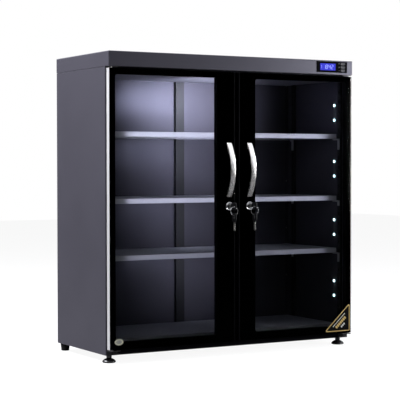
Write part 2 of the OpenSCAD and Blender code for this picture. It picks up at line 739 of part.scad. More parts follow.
module dryer_cover() color("whitesmoke") difference() {
    block([dryer_x0, dryer_y0, dryer_z0], [dryer_x1, cover_y, dryer_z1]);
    for (i = [1 : louvres])
        block([dryer_x - louvre_w / 2, dryer_y0 - over, dryer_z1 - i * louvre_pitch - louvre_h],
              [dryer_x + louvre_w / 2, cover_y + over, dryer_z1 - i * louvre_pitch]);
}

module desiccant_pack() color("navajowhite") difference() {
    block([dryer_x0 + 2 * dryer_t, cover_y + dryer_t, rib_z + dryer_t],
          [dryer_x1 - 2 * dryer_t, wall_y - 3 * dryer_t, dryer_z1 - 2 * dryer_t]);
    for (i = [1 : louvres - 1])
        block([dryer_x0 + dryer_t, cover_y, rib_z + dryer_t + i * (dryer_z1 - rib_z) / louvres],
              [dryer_x1 - dryer_t, cover_y + 2 * dryer_t, rib_z + 2 * dryer_t + i * (dryer_z1 - rib_z) / louvres]);
}

module dryer_flap() color("silver") {
    block([dryer_x - flap_w / 2, flap_pin_y - flap_t / 2, flap_pin_z - flap_h],
          [dryer_x + flap_w / 2, flap_pin_y + flap_t / 2, flap_pin_z]);
    translate([dryer_x - dryer_w / 2 + dryer_t / 2, flap_pin_y, flap_pin_z]) rotate([0, 90, 0])
        cylinder(d = flap_pin, h = dryer_w - dryer_t);
}

module vent_grille() color("black") difference() {
    plate_y([dryer_x - vent[0] / 2 - grille_rim, vent_z - vent[1] / 2 - grille_rim],
            [dryer_x + vent[0] / 2 + grille_rim, vent_z + vent[1] / 2 + grille_rim], edge_r, back_y,
            back_y + head_out);
    for (z = [vent_z - vent[1] / 2 + grille_slot : 2 * grille_slot : vent_z + vent[1] / 2 - grille_slot])
        block([dryer_x - vent[0] / 2, back_y - over, z - grille_slot / 2],
              [dryer_x + vent[0] / 2, back_y + head_out + over, z + grille_slot / 2]);
}

// Hinges

module hinge_brackets() color("black")
    for (side = [-1, 1]) handed(side) {
        difference() {
            union() {
                block([half_w - leaf_l, front_y + leaf_t, leaf_z - leaf_t], [half_w - door_side, body_y, leaf_z]);
                block([half_w - leaf_l, body_y - leaf_t, base_z], [half_w - door_side, body_y, leaf_z - leaf_t / 2]);
            }
            translate([pin_x, pin_y, leaf_z - leaf_t - over]) cylinder(d = pin_d, h = leaf_t + 2 * over);
            for (x = bracket_screw_xs)
                bar_y(x, base_z + leaf_screw_z, body_y - leaf_t - over, body_y + over, screw_d);
        }
        difference() {
            block([half_w - leaf_l, front_y + leaf_t, cap_z - leaf_t], [half_w - door_side, body_y, cap_z]);
            translate([pin_x, pin_y, cap_z - leaf_t - over]) cylinder(d = pin_d, h = leaf_t + 2 * over);
        }
    }

module hinge_pins() color("silver")
    for (side = [-1, 1]) handed(side) {
        translate([pin_x, pin_y, leaf_z - leaf_t]) cylinder(d = pin_d, h = leaf_t + washer_t + pin_in_door);
        translate([pin_x, pin_y, leaf_z]) cylinder(d = boss_d, h = washer_t - fit_gap);
        translate([pin_x, pin_y, door_z1 - pin_in_door]) cylinder(d = pin_d, h = pin_in_door + door_over);
    }

module body_screws() color("silver") {
    for (x = [-screw_col_x, screw_col_x], z = side_screw_zs) screw(x, z);
    for (x = edge_screw_xs, z = edge_screw_zs) screw(x, z);
}

// A pan-head screw through the back panel
module screw(x, z) {
    bar_y(x, z, wall_y - 3 * steel_t, back_y + head_out / 2, screw_d - 2 * run_gap);
    bar_y(x, z, back_y, back_y + head_out, head_d);
}

// Feet

module rear_feet() color("black")
    for (x = [-rear_x, rear_x])
        translate([x, rear_y, 0]) cylinder(d1 = rear_foot_d * rear_low_share, d2 = rear_foot_d, h = foot_h);

module foot(side) color("silver") translate([side * foot_x, foot_y, 0]) {
    rotate_extrude() polygon([
        [0, 0], [foot_d / 2, 0], [foot_d / 2, bell_h / 4], [foot_d * 0.44, bell_h / 2],
        [foot_d * 0.3, bell_h * 0.8], [stem_d, bell_h * 0.92], [stem_d, bell_h], [0, bell_h]
    ]);
    cylinder(d = stem_d, h = pan_z + stem_up);
    translate([0, 0, bell_h + fit_gap]) cylinder(d = 2 * stem_d, h = foot_nut_t, $fn = 6);
}

// Doors

module door_ring(x0, x1, z0, z1, y0, y1, grow) {
    difference() {
        block([x0, y0, z0], [x1, y1, z1]);
        block([win_x0 - grow, y0 - over, win_z0 - grow], [win_x1 + grow, y1 + over, win_z1 + grow]);
    }
}

module door_frame(side) handed(side) color("black") difference() {
    union() {
        difference() {
            door_ring(door_x0, frame_x1, door_z0, door_z1, frame_y, door_back, 0);
            door_ring(door_x0 + steel_t, frame_x1 - steel_t, door_z0 + steel_t, door_z1 - steel_t,
                      frame_y + steel_t, door_back - steel_t, steel_t);
        }
        block([door_x0, front_y, door_z0], [door_x0 + steel_t, frame_y + over, door_z1]);
        intersection() {
            block([win_x1, frame_y, door_z0], [frame_x1, door_back, door_z1]);
            for (z = [door_z0, door_z1 - boss_l]) translate([pin_x, pin_y, z]) cylinder(d = boss_d, h = boss_l);
        }
    }
    for (z = [door_z0 - over, door_z1 - pin_in_door - over])
        translate([pin_x, pin_y, z]) cylinder(d = pin_d + 2 * run_gap, h = pin_in_door + 2 * over);
    // The joints between the rails and the stiles
    for (x = [win_x0, win_x1 - fit_gap])
        block([x, frame_y - over, door_z0 - over], [x + fit_gap, door_back + over, door_z1 + over]);
    bar_y(lock_x(side), lock_mid_z, frame_y - over, door_back + over, barrel_d);
    for (k = [-1, 1])
        bar_y(lock_x(side), handle_mid_z + k * screw_at, frame_y - over, door_back + over, screw_d);
}

module door_glass(side) handed(side) color("lightsteelblue", 0.4) difference() {
    block([door_x0 + steel_t, front_y, door_z0], [door_x1, frame_y, door_z1]);
    bar_y(lock_x(side), lock_mid_z, front_y - over, frame_y + over, barrel_d);
    for (k = [-1, 1])
        bar_y(lock_x(side), handle_mid_z + k * screw_at, front_y - over, frame_y + over, screw_d + 2 * glass_gap);
}

module door_trim(side) handed(side) color("silver")
    block([frame_x1, frame_y, door_z0], [door_x1, door_back, door_z1]);

module door_seal(side) handed(side) color("black") difference() {
    block([door_x0 + seal_in, door_back, door_z0 + seal_low - seal_w / 2],
          [door_x1 - seal_side, door_back + seal_t, door_z1 - seal_top + seal_w / 2]);
    block([door_x0 + seal_in + seal_w, door_back - over, door_z0 + seal_low + seal_w / 2],
          [door_x1 - seal_side - seal_w, door_back + seal_t + over, door_z1 - seal_top - seal_w / 2]);
}

module handle(side) handed(side) color("silver") translate([lock_x(side), front_y, handle_mid_z]) difference() {
    intersection() {
        translate([-handle_w / 2, handle_r - handle_out, 0]) rotate([0, 90, 0])
            cylinder(r = handle_r, h = handle_w, $fn = 96);
        block([-handle_w / 2, -handle_out, -handle_half], [handle_w / 2, 0, handle_half]);
    }
    translate([-handle_w, grip_r - grip_rise, 0]) rotate([0, 90, 0]) cylinder(r = grip_r, h = 2 * handle_w, $fn = 96);
    for (k = [-1, 1]) bar_y(0, k * screw_at, -screw_bite, over, screw_d);
}

module door_fixings(side) handed(side) color("silver") {
    for (k = [-1, 1]) {
        bar_y(lock_x(side), handle_mid_z + k * screw_at, front_y - screw_bite + fit_gap, door_back + head_t1 / 2,
              screw_d - 2 * run_gap);
        bar_y(lock_x(side), handle_mid_z + k * screw_at, door_back, door_back + head_t1, head_d);
    }
    difference() {
        translate([lock_x(side), door_back, lock_mid_z]) rotate([-90, 30, 0])
            cylinder(r = nut_af / sqrt(3), h = nut_t, $fn = 6);
        bar_y(lock_x(side), lock_mid_z, door_back - over, door_back + nut_t + over, barrel_d);
    }
}

// Locks and keys

module lock_barrel(side) handed(side) color("silver") difference() {
    union() {
        bar_y(lock_x(side), lock_mid_z, front_y - lock_face_t, front_y, lock_face_d);
        bar_y(lock_x(side), lock_mid_z, front_y - lock_face_t / 2, barrel_y, barrel_d);
    }
    bar_y(lock_x(side), lock_mid_z, front_y - lock_face_t - over, barrel_y + over, plug_d + 2 * run_gap);
}

module lock_plug(side) handed(side) color("silver") difference() {
    union() {
        bar_y(lock_x(side), lock_mid_z, front_y - lock_face_t, cam_y, plug_d);
        block([lock_x(side) - tail_w / 2, cam_y - over, lock_mid_z - tail_w / 2],
              [lock_x(side) + tail_w / 2, cam_end + over, lock_mid_z + tail_w / 2]);
        bar_y(lock_x(side), lock_mid_z, cam_end, cam_end + head_t1, tail_head_d);
    }
    block([lock_x(side) - blade_t / 2 - blade_play, front_y - lock_face_t - over,
           lock_mid_z - blade_w / 2 - blade_play],
          [lock_x(side) + blade_t / 2 + blade_play, front_y - lock_face_t + blade_in + over,
           lock_mid_z + blade_w / 2 + blade_play]);
}

module lock_cam(side) handed(side) color("silver") difference() {
    union() {
        bar_y(lock_x(side), lock_mid_z, cam_y, cam_end, cam_w);
        block([lock_x(side) - cam_w / 2, cam_y, lock_mid_z],
              [lock_x(side) + cam_w / 2, cam_end, lock_mid_z + lock_x(side) - cam_reach]);
    }
    block([lock_x(side) - tail_w / 2, cam_y - over, lock_mid_z - tail_w / 2],
          [lock_x(side) + tail_w / 2, cam_end + over, lock_mid_z + tail_w / 2]);
}

// A key that points along +Y, with its blade's root at the origin
module key_shape() {
    difference() {
        translate([-head_t / 2, 0, 0]) rotate([90, 0, 90]) linear_extrude(head_t)
            round_rect([-head_l, -head_w / 2], [0, head_w / 2], key_r);
        translate([-head_t, 0, 0]) rotate([90, 0, 90]) linear_extrude(2 * head_t)
            round_rect([-head_l + slot_end, -slot_w / 2], [-head_l + slot_end + slot_l, slot_w / 2], slot_w / 4);
    }
    notch = blade_l / key_notches / 3;
    translate([-blade_t / 2, 0, 0]) rotate([90, 0, 90]) linear_extrude(blade_t) polygon([
        [-over, -blade_w / 2],
        for (i = [1 : key_notches], k = [-1, 0, 1])
            [blade_l * (i + 0.5) / (key_notches + 2) + k * notch, (k == 0 ? notch : 0) - blade_w / 2],
        [blade_l - blade_w / 3, -blade_w / 2], [blade_l, 0], [blade_l - blade_w / 3, blade_w / 2],
        [-over, blade_w / 2]
    ]);
}

module key(side) color("black") translate([side * lock_x(side), head_y, lock_mid_z]) key_shape();

module spare_key(side) color("black") translate([side * lock_x(side), ring_y, spare_top_z - head_l])
    rotate([-90, 0, 0]) key_shape();

module key_ring(side) color("silver") translate([side * lock_x(side), ring_y, ring_pivot_z - ring_r])
    rotate([90, 0, 0]) rotate_extrude() translate([ring_r, 0]) circle(d = ring_wire, $fn = 24);

top_cap();
side_panel(-1);  // side_panel_left
side_panel(1);  // side_panel_right
back_panel();
base_pan();
ceiling_panel();
front_rails();
centre_mullion();
floor_tray();
shelf(3);  // shelf_top
shelf(2);  // shelf_middle
shelf(1);  // shelf_lower
shelf_uprights();
shelf_clips();
light_strips();
light_lamps();
control_bezel();
lcd_display();
control_board();
button(1);  // button_set
button(0);  // button_up
button(-1);  // button_down
power_supply();
power_inlet();
humidity_sensor();
dryer_case();
dryer_cover();
desiccant_pack();
dryer_flap();
vent_grille();
hinge_brackets();
hinge_pins();
body_screws();
rear_feet();
foot(-1);  // foot_left
foot(1);  // foot_right
door_frame(-1);  // door_frame_left
door_glass(-1);  // door_glass_left
door_trim(-1);  // door_trim_left
door_seal(-1);  // door_seal_left
handle(-1);  // handle_left
door_fixings(-1);  // door_fixings_left
lock_barrel(-1);  // lock_barrel_left
lock_plug(-1);  // lock_plug_left
lock_cam(-1);  // lock_cam_left
key(-1);  // key_left
key_ring(-1);  // key_ring_left
spare_key(-1);  // spare_key_left
door_frame(1);  // door_frame_right
door_glass(1);  // door_glass_right
door_trim(1);  // door_trim_right
door_seal(1);  // door_seal_right
handle(1);  // handle_right
door_fixings(1);  // door_fixings_right
lock_barrel(1);  // lock_barrel_right
lock_plug(1);  // lock_plug_right
lock_cam(1);  // lock_cam_right
key(1);  // key_right
key_ring(1);  // key_ring_right
spare_key(1);  // spare_key_right
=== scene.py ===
import math

import bmesh
import bpy
from bpy.props import FloatProperty, FloatVectorProperty
from mathutils import Matrix, Vector


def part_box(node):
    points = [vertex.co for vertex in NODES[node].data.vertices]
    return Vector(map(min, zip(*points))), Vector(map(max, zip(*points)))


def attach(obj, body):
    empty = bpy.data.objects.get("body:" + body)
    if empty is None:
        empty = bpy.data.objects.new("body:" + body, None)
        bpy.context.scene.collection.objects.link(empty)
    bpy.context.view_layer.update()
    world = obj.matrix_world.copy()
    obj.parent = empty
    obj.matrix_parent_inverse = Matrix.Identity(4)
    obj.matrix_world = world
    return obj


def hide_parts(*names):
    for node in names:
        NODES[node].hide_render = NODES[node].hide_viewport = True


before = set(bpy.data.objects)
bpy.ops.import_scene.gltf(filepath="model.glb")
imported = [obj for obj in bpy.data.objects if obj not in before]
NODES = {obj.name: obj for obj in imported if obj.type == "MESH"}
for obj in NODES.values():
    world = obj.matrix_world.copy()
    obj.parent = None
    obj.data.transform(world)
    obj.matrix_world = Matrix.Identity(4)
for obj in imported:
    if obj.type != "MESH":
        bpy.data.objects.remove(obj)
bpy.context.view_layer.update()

bl_info = {
    "name": "Camera dry cabinet",
    "version": (1, 0, 0),
    "blender": (4, 5, 0),
    "location": "3D View > Sidebar > Dry cabinet",
    "description": "Dresses the packed dry cabinet with finishes, handles, locks, keys, lamps and its stage",
    "category": "Object",
}

MM = 0.001
# Local Z turned to face the front of the cabinet, with local Y up
FACING = Matrix.Rotation(math.radians(90), 4, "X")
UPRIGHT = Matrix.Identity(4)
SIDES = ("left", "right")
# Places on the doors, measured from the middle of the cabinet and from the floor
WINDOW_NEAR = 63 * MM
WINDOW_FAR = 379.6 * MM
WINDOW_LOW = 59.5 * MM
WINDOW_HIGH = 780 * MM
CORNER_LABEL = [(297 * MM, 43 * MM), (392 * MM, 43 * MM), (392 * MM, 129 * MM)]
OVAL_LABEL = (-371.5 * MM, 59.5 * MM)


# Values that a user may change

def colour_value(name, description, default):
    return FloatVectorProperty(name=name, description=description, subtype="COLOR", size=3, min=0, max=1,
                               default=default)


def length_value(name, description, low, high, default):
    return FloatProperty(name=name, description=description, unit="LENGTH", min=low, max=high,
                         default=default)


class CabinetColours(bpy.types.PropertyGroup):
    paint: colour_value("Cabinet paint", "Base colour of the outer steel", (0.056, 0.054, 0.066))
    inner: colour_value("Inner paint", "Colour of the walls inside", (0.26, 0.26, 0.30))
    shelf: colour_value("Shelf paint", "Colour of the shelves", (0.42, 0.42, 0.46))
    steel: colour_value("Handle steel", "Colour of the brushed handles", (0.74, 0.73, 0.71))
    chrome: colour_value("Chrome", "Colour of the locks", (0.80, 0.80, 0.81))
    display: colour_value("Display blue", "Colour of the lit display", (0.030, 0.034, 0.60))
    gold: colour_value("Label gold", "Colour of the print on the corner label", (0.60, 0.42, 0.15))


class CabinetSizes(bpy.types.PropertyGroup):
    edge: length_value("Edge rounding", "Radius of the edges of small metal pieces", 0.0001, 0.002, 0.0007)
    handle_middle: length_value("Handle thickness", "Thickness of a handle's middle", 0.003, 0.008, 0.0045)
    handle_foot: length_value("Handle foot", "Height of a handle's foot on the door", 0.010, 0.020, 0.014)
    handle_end: length_value("Handle end", "Thickness of a handle at its very ends", 0.0005, 0.003, 0.001)
    head: length_value("Screw head", "Diameter of a screw's head", 0.004, 0.012, 0.0076)
    digit: length_value("Digit height", "Height of a digit on the display", 0.006, 0.014, 0.0112)
    lens: length_value("Lamp lens", "Diameter of a lamp's dome", 0.002, 0.010, 0.0048)
    thread: length_value("Thread pitch", "Pitch of the thread on a foot's stem", 0.0005, 0.002, 0.00125)


class CabinetStage(bpy.types.PropertyGroup):
    eye: FloatVectorProperty(
        name="Camera place", description="Where the camera stands", subtype="TRANSLATION", size=3,
        default=(-1.98513, -3.41197, 0.53365))
    yaw: FloatProperty(
        name="Camera yaw", description="Turn of the camera to the right", subtype="ANGLE",
        default=math.radians(29.792))
    pitch: FloatProperty(
        name="Camera pitch", description="Tilt of the camera downwards", subtype="ANGLE",
        default=math.radians(1.4486))
    roll: FloatProperty(
        name="Camera roll", description="Roll of the camera", subtype="ANGLE",
        default=math.radians(-0.0699))
    lens: FloatProperty(
        name="Focal length", description="Focal length in millimetres", subtype="DISTANCE_CAMERA",
        min=20, max=300, default=121.797)
    inside: FloatProperty(
        name="Inner lamps", description="Strength of the lamps inside the cabinet",
        min=0, max=10, default=1.0)


# Node helpers

def node(tree, kind, inputs=None, **settings):
    made = tree.nodes.new("ShaderNode" + kind)
    for name, value in settings.items():
        setattr(made, name, value)
    for name, value in (inputs or {}).items():
        if isinstance(value, bpy.types.NodeSocket):
            tree.links.new(value, made.inputs[name])
        else:
            made.inputs[name].default_value = value
    return made


def maths(tree, operation, first, second):
    return node(tree, "Math", {0: first, 1: second}, operation=operation).outputs[0]


def spread(tree, factor, low, high, start=0.3, end=0.7):
    made = node(tree, "MapRange", {"Value": factor, "From Min": start, "From Max": end,
                                   "To Min": low, "To Max": high})
    return made.outputs["Result"]


def blend_colours(tree, factor, first, second):
    made = node(tree, "Mix", data_type="RGBA")
    for index, value in ((0, factor), (6, first), (7, second)):
        if isinstance(value, bpy.types.NodeSocket):
            tree.links.new(value, made.inputs[index])
        elif index:
            made.inputs[index].default_value = (*value[:3], 1)
        else:
            made.inputs[index].default_value = value
    return made.outputs[2]


def tinted(colour, share):
    return tuple(min(1.0, part * share) for part in colour)


def finish(name, colour, gloss, metal=0.0, level=0.5, tint=(1, 1, 1), vary=0.10, cloud=9.0, grain=0.12,
           grain_size=0.0006, stretch=(1, 1, 1), edge=0.0006, edge_highlight=0.0, uneven=0.05):
    """A finish with cloudy colour, grain in its gloss and relief, and rounded edges that can carry a painted
    highlight.
    """
    material = bpy.data.materials.new(name)
    material.use_nodes = True
    material.diffuse_color = (*colour[:3], 1)
    tree = material.node_tree
    shader = tree.nodes["Principled BSDF"]
    shader.inputs["Metallic"].default_value = metal
    shader.inputs["Specular IOR Level"].default_value = level
    shader.inputs["Specular Tint"].default_value = (*tint, 1)
    place = node(tree, "TexCoord").outputs["Object"]
    run = node(tree, "Mapping", {"Vector": place, "Scale": stretch}).outputs["Vector"]
    clouds = node(tree, "TexNoise", {"Vector": place, "Scale": cloud, "Detail": 4.0}).outputs["Fac"]
    grains = node(tree, "TexNoise", {"Vector": run, "Scale": 1 / grain_size, "Detail": 2.0}).outputs["Fac"]
    cloudy = blend_colours(tree, spread(tree, clouds, 0, 1), tinted(colour, 1 - vary),
                           tinted(colour, 1 + vary))
    fine = blend_colours(tree, spread(tree, grains, 0, 0.5), cloudy, tinted(colour, 1 - 2 * vary))
    rounded = node(tree, "Bevel", {"Radius": edge}, samples=4).outputs["Normal"]
    # Painted highlight: where the rounded normal bends away from the flat one, the colour is lightened
    # towards seven times itself, a thin light line along the edges
    if edge_highlight:
        flat = node(tree, "NewGeometry").outputs["Normal"]
        bend = node(tree, "VectorMath", {0: rounded, 1: flat}, operation="DOT_PRODUCT").outputs["Value"]
        fine = blend_colours(tree, spread(tree, bend, edge_highlight, 0, 0.80, 0.97), fine, tinted(colour, 7))
    tree.links.new(fine, shader.inputs["Base Color"])
    tree.links.new(spread(tree, grains, gloss - uneven, gloss + uneven), shader.inputs["Roughness"])
    bump = node(tree, "Bump", {"Strength": grain, "Distance": grain_size * 0.4, "Height": grains,
                               "Normal": rounded})
    tree.links.new(bump.outputs["Normal"], shader.inputs["Normal"])
    return material


def glow(material, colour, strength):
    shader = material.node_tree.nodes["Principled BSDF"]
    shader.inputs["Emission Color"].default_value = (*colour, 1)
    shader.inputs["Emission Strength"].default_value = strength
    return material


def pane(name):
    """Clear door glass with an anti-reflection coat and a faint green edge."""
    material = finish(name, (0.93, 0.96, 0.96), 0.0, tint=(0.03, 0.03, 0.035), vary=0.01, grain=0.0,
                      edge=0.0008, uneven=0.0)
    shader = material.node_tree.nodes["Principled BSDF"]
    tree = material.node_tree
    tree.links.remove(shader.inputs["Roughness"].links[0])
    shader.inputs["Roughness"].default_value = 0.0
    shader.inputs["IOR"].default_value = 1.15
    shader.inputs["Transmission Weight"].default_value = 1.0
    return material


def wear_on(material, *names):
    for name in names:
        piece = NODES[name]
        piece.data.materials.clear()
        piece.data.materials.append(material)


# Modelling helpers

def deselect():
    active = bpy.context.view_layer.objects.active
    if active and active.mode != "OBJECT":
        bpy.ops.object.mode_set(mode="OBJECT")
    bpy.ops.object.select_all(action="DESELECT")


def settle():
    """Applies the placing of the selected piece, which leaves it untransformed at the origin."""
    bpy.ops.object.transform_apply(location=True, rotation=True, scale=True)


def take(piece):
    deselect()
    piece.select_set(True)
    bpy.context.view_layer.objects.active = piece


def edit(piece):
    take(piece)
    bpy.ops.object.mode_set(mode="EDIT")
    bpy.ops.mesh.select_mode(type="VERT")
    bpy.ops.mesh.select_all(action="SELECT")


def choose(piece, test, kind="faces"):
    """Selects the faces, edges or points of the edited piece whose middle (and normal) pass the test."""
    form = bmesh.from_edit_mesh(piece.data)
    modes = {"faces": "FACE", "edges": "EDGE", "verts": "VERT"}
    bpy.ops.mesh.select_mode(type=modes[kind])
    bpy.ops.mesh.select_all(action="DESELECT")
    for part in getattr(form, kind):
        if kind == "faces":
            keep = test(part.calc_center_median(), part.normal)
        elif kind == "edges":
            keep = test((part.verts[0].co + part.verts[1].co) / 2, part.verts[1].co - part.verts[0].co)
        else:
            keep = test(part.co, part.normal)
        part.select_set(bool(keep))
    bmesh.update_edit_mesh(piece.data)


def chain(name, outline, closed):
    """Draws an outline of (x, y, z) points, one after the other, from a plane merged to one point."""
    deselect()
    bpy.ops.mesh.primitive_plane_add(size=MM, location=outline[0])
    piece = bpy.context.object
    piece.name = name
    edit(piece)
    bpy.ops.mesh.merge(type="CENTER")
    for first, second in zip(outline, outline[1:]):
        step = tuple(b - a for a, b in zip(first, second))
        bpy.ops.mesh.extrude_vertices_move(TRANSFORM_OT_translate={"value": step})
    if closed:
        form = bmesh.from_edit_mesh(piece.data)
        form.verts.ensure_lookup_table()
        bpy.ops.mesh.select_all(action="DESELECT")
        form.verts[0].select_set(True)
        form.verts[-1].select_set(True)
        bpy.ops.mesh.edge_face_add()
    bpy.ops.mesh.select_all(action="SELECT")
    return piece


def tidy_shell(piece):
    edit(piece)
    bpy.ops.mesh.remove_doubles(threshold=1e-6)
    bpy.ops.mesh.normals_make_consistent(inside=False)
    bpy.ops.object.mode_set(mode="OBJECT")


def plate(name, outline, depth):
    """A flat piece in the XY plane: its outline is drawn, filled and drawn up by its depth."""
    piece = chain(name, [(x, y, 0) for x, y in outline], True)
    bpy.ops.mesh.edge_face_add()
    bpy.ops.mesh.extrude_region_move(TRANSFORM_OT_translate={"value": (0, 0, depth)})
    tidy_shell(piece)
    return piece


def turned(name, outline, closed=False, steps=48):
    """A round piece on the Z axis: (radius, height) points are drawn and spun once round."""
    piece = chain(name, [(r, 0, h) for r, h in outline], closed)
    bpy.ops.mesh.spin(steps=steps, angle=2 * math.pi, center=(0, 0, 0), axis=(0, 0, 1), use_auto_merge=True)
    tidy_shell(piece)
    return piece


def shaped(piece, kind, **settings):
    take(piece)
    modifier = piece.modifiers.new(kind.title(), kind)
    for name, value in settings.items():
        setattr(modifier, name, value)
    bpy.ops.object.modifier_apply(modifier=modifier.name)
    return piece


def soften(piece, width, segments=3, angle=35):
    return shaped(piece, "BEVEL", width=width, segments=segments, limit_method="ANGLE",
                  angle_limit=math.radians(angle), harden_normals=False)


def cut(piece, tool):
    shaped(piece, "BOOLEAN", operation="DIFFERENCE", solver="EXACT", object=tool)
    bpy.data.objects.remove(tool, do_unlink=True)
    return piece


def block(at, size):
    """A box to cut another piece with."""
    deselect()
    bpy.ops.mesh.primitive_cube_add(size=1, location=at, scale=size)
    settle()
    return bpy.context.object


def put(piece, at, turn=UPRIGHT):
    take(piece)
    piece.matrix_world = Matrix.Translation(at) @ turn @ piece.matrix_world
    settle()
    return piece


def copy_of(piece, name, shift=(0, 0, 0)):
    take(piece)
    bpy.ops.object.duplicate(linked=False)
    made = bpy.context.object
    made.name = name
    bpy.ops.transform.translate(value=shift)
    settle()
    return made


def join(name, pieces):
    deselect()
    for piece in pieces:
        piece.select_set(True)
    bpy.context.view_layer.objects.active = pieces[0]
    bpy.ops.object.join()
    pieces[0].name = name
    return pieces[0]


def hand_over(piece, look, body, smooth=35):
    """Gives a finished piece its finish in a material slot and the body that carries it."""
    take(piece)
    settle()
    if smooth:
        bpy.ops.object.shade_smooth_by_angle(angle=math.radians(smooth))
    piece.data.materials.clear()
    piece.data.materials.append(FINISHES[look])
    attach(piece, body)
    return piece


def middle(name):
    lo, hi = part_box(name)
    return (lo + hi) / 2


def oblong(low_x, low_y, high_x, high_y):
    return [(low_x, low_y), (high_x, low_y), (high_x, high_y), (low_x, high_y)]


def corner(points, i):
    """Corner i, the ways from it to the corners before and after it, and half the angle between them."""
    here = Vector(points[i])
    back = (Vector(points[i - 1]) - here).normalized()
    on = (Vector(points[(i + 1) % len(points)]) - here).normalized()
    return here, back, on, math.acos(max(-1, min(1, back.dot(on)))) / 2


def rounded_outline(points, radius, steps=4):
    """The outline of (x, y) points with each corner rounded by the radius."""
    made = []
    for i in range(len(points)):
        here, back, on, half = corner(points, i)
        reach = radius / math.tan(half)
        centre = here + (back + on).normalized() * (radius / math.sin(half))
        first = here + back * reach - centre
        turn = first.angle_signed(here + on * reach - centre)
        for k in range(steps + 1):
            made.append(tuple(centre + Matrix.Rotation(-turn * k / steps, 2) @ first))
    return made


def shrunk(points, inset):
    """The outline's corners moved in so that each side lies inset inside its own."""
    made = []
    for i in range(len(points)):
        here, back, on, half = corner(points, i)
        made.append(tuple(here + (back + on).normalized() * (inset / math.sin(half))))
    return made


def gathered(points, reach):
    """The points in groups that lie within reach of each group's first point."""
    groups = []
    for point in points:
        for group in groups:
            if (group[0] - point).length < reach:
                group.append(point)
                break
        else:
            groups.append([point])
    return groups


# Finishes

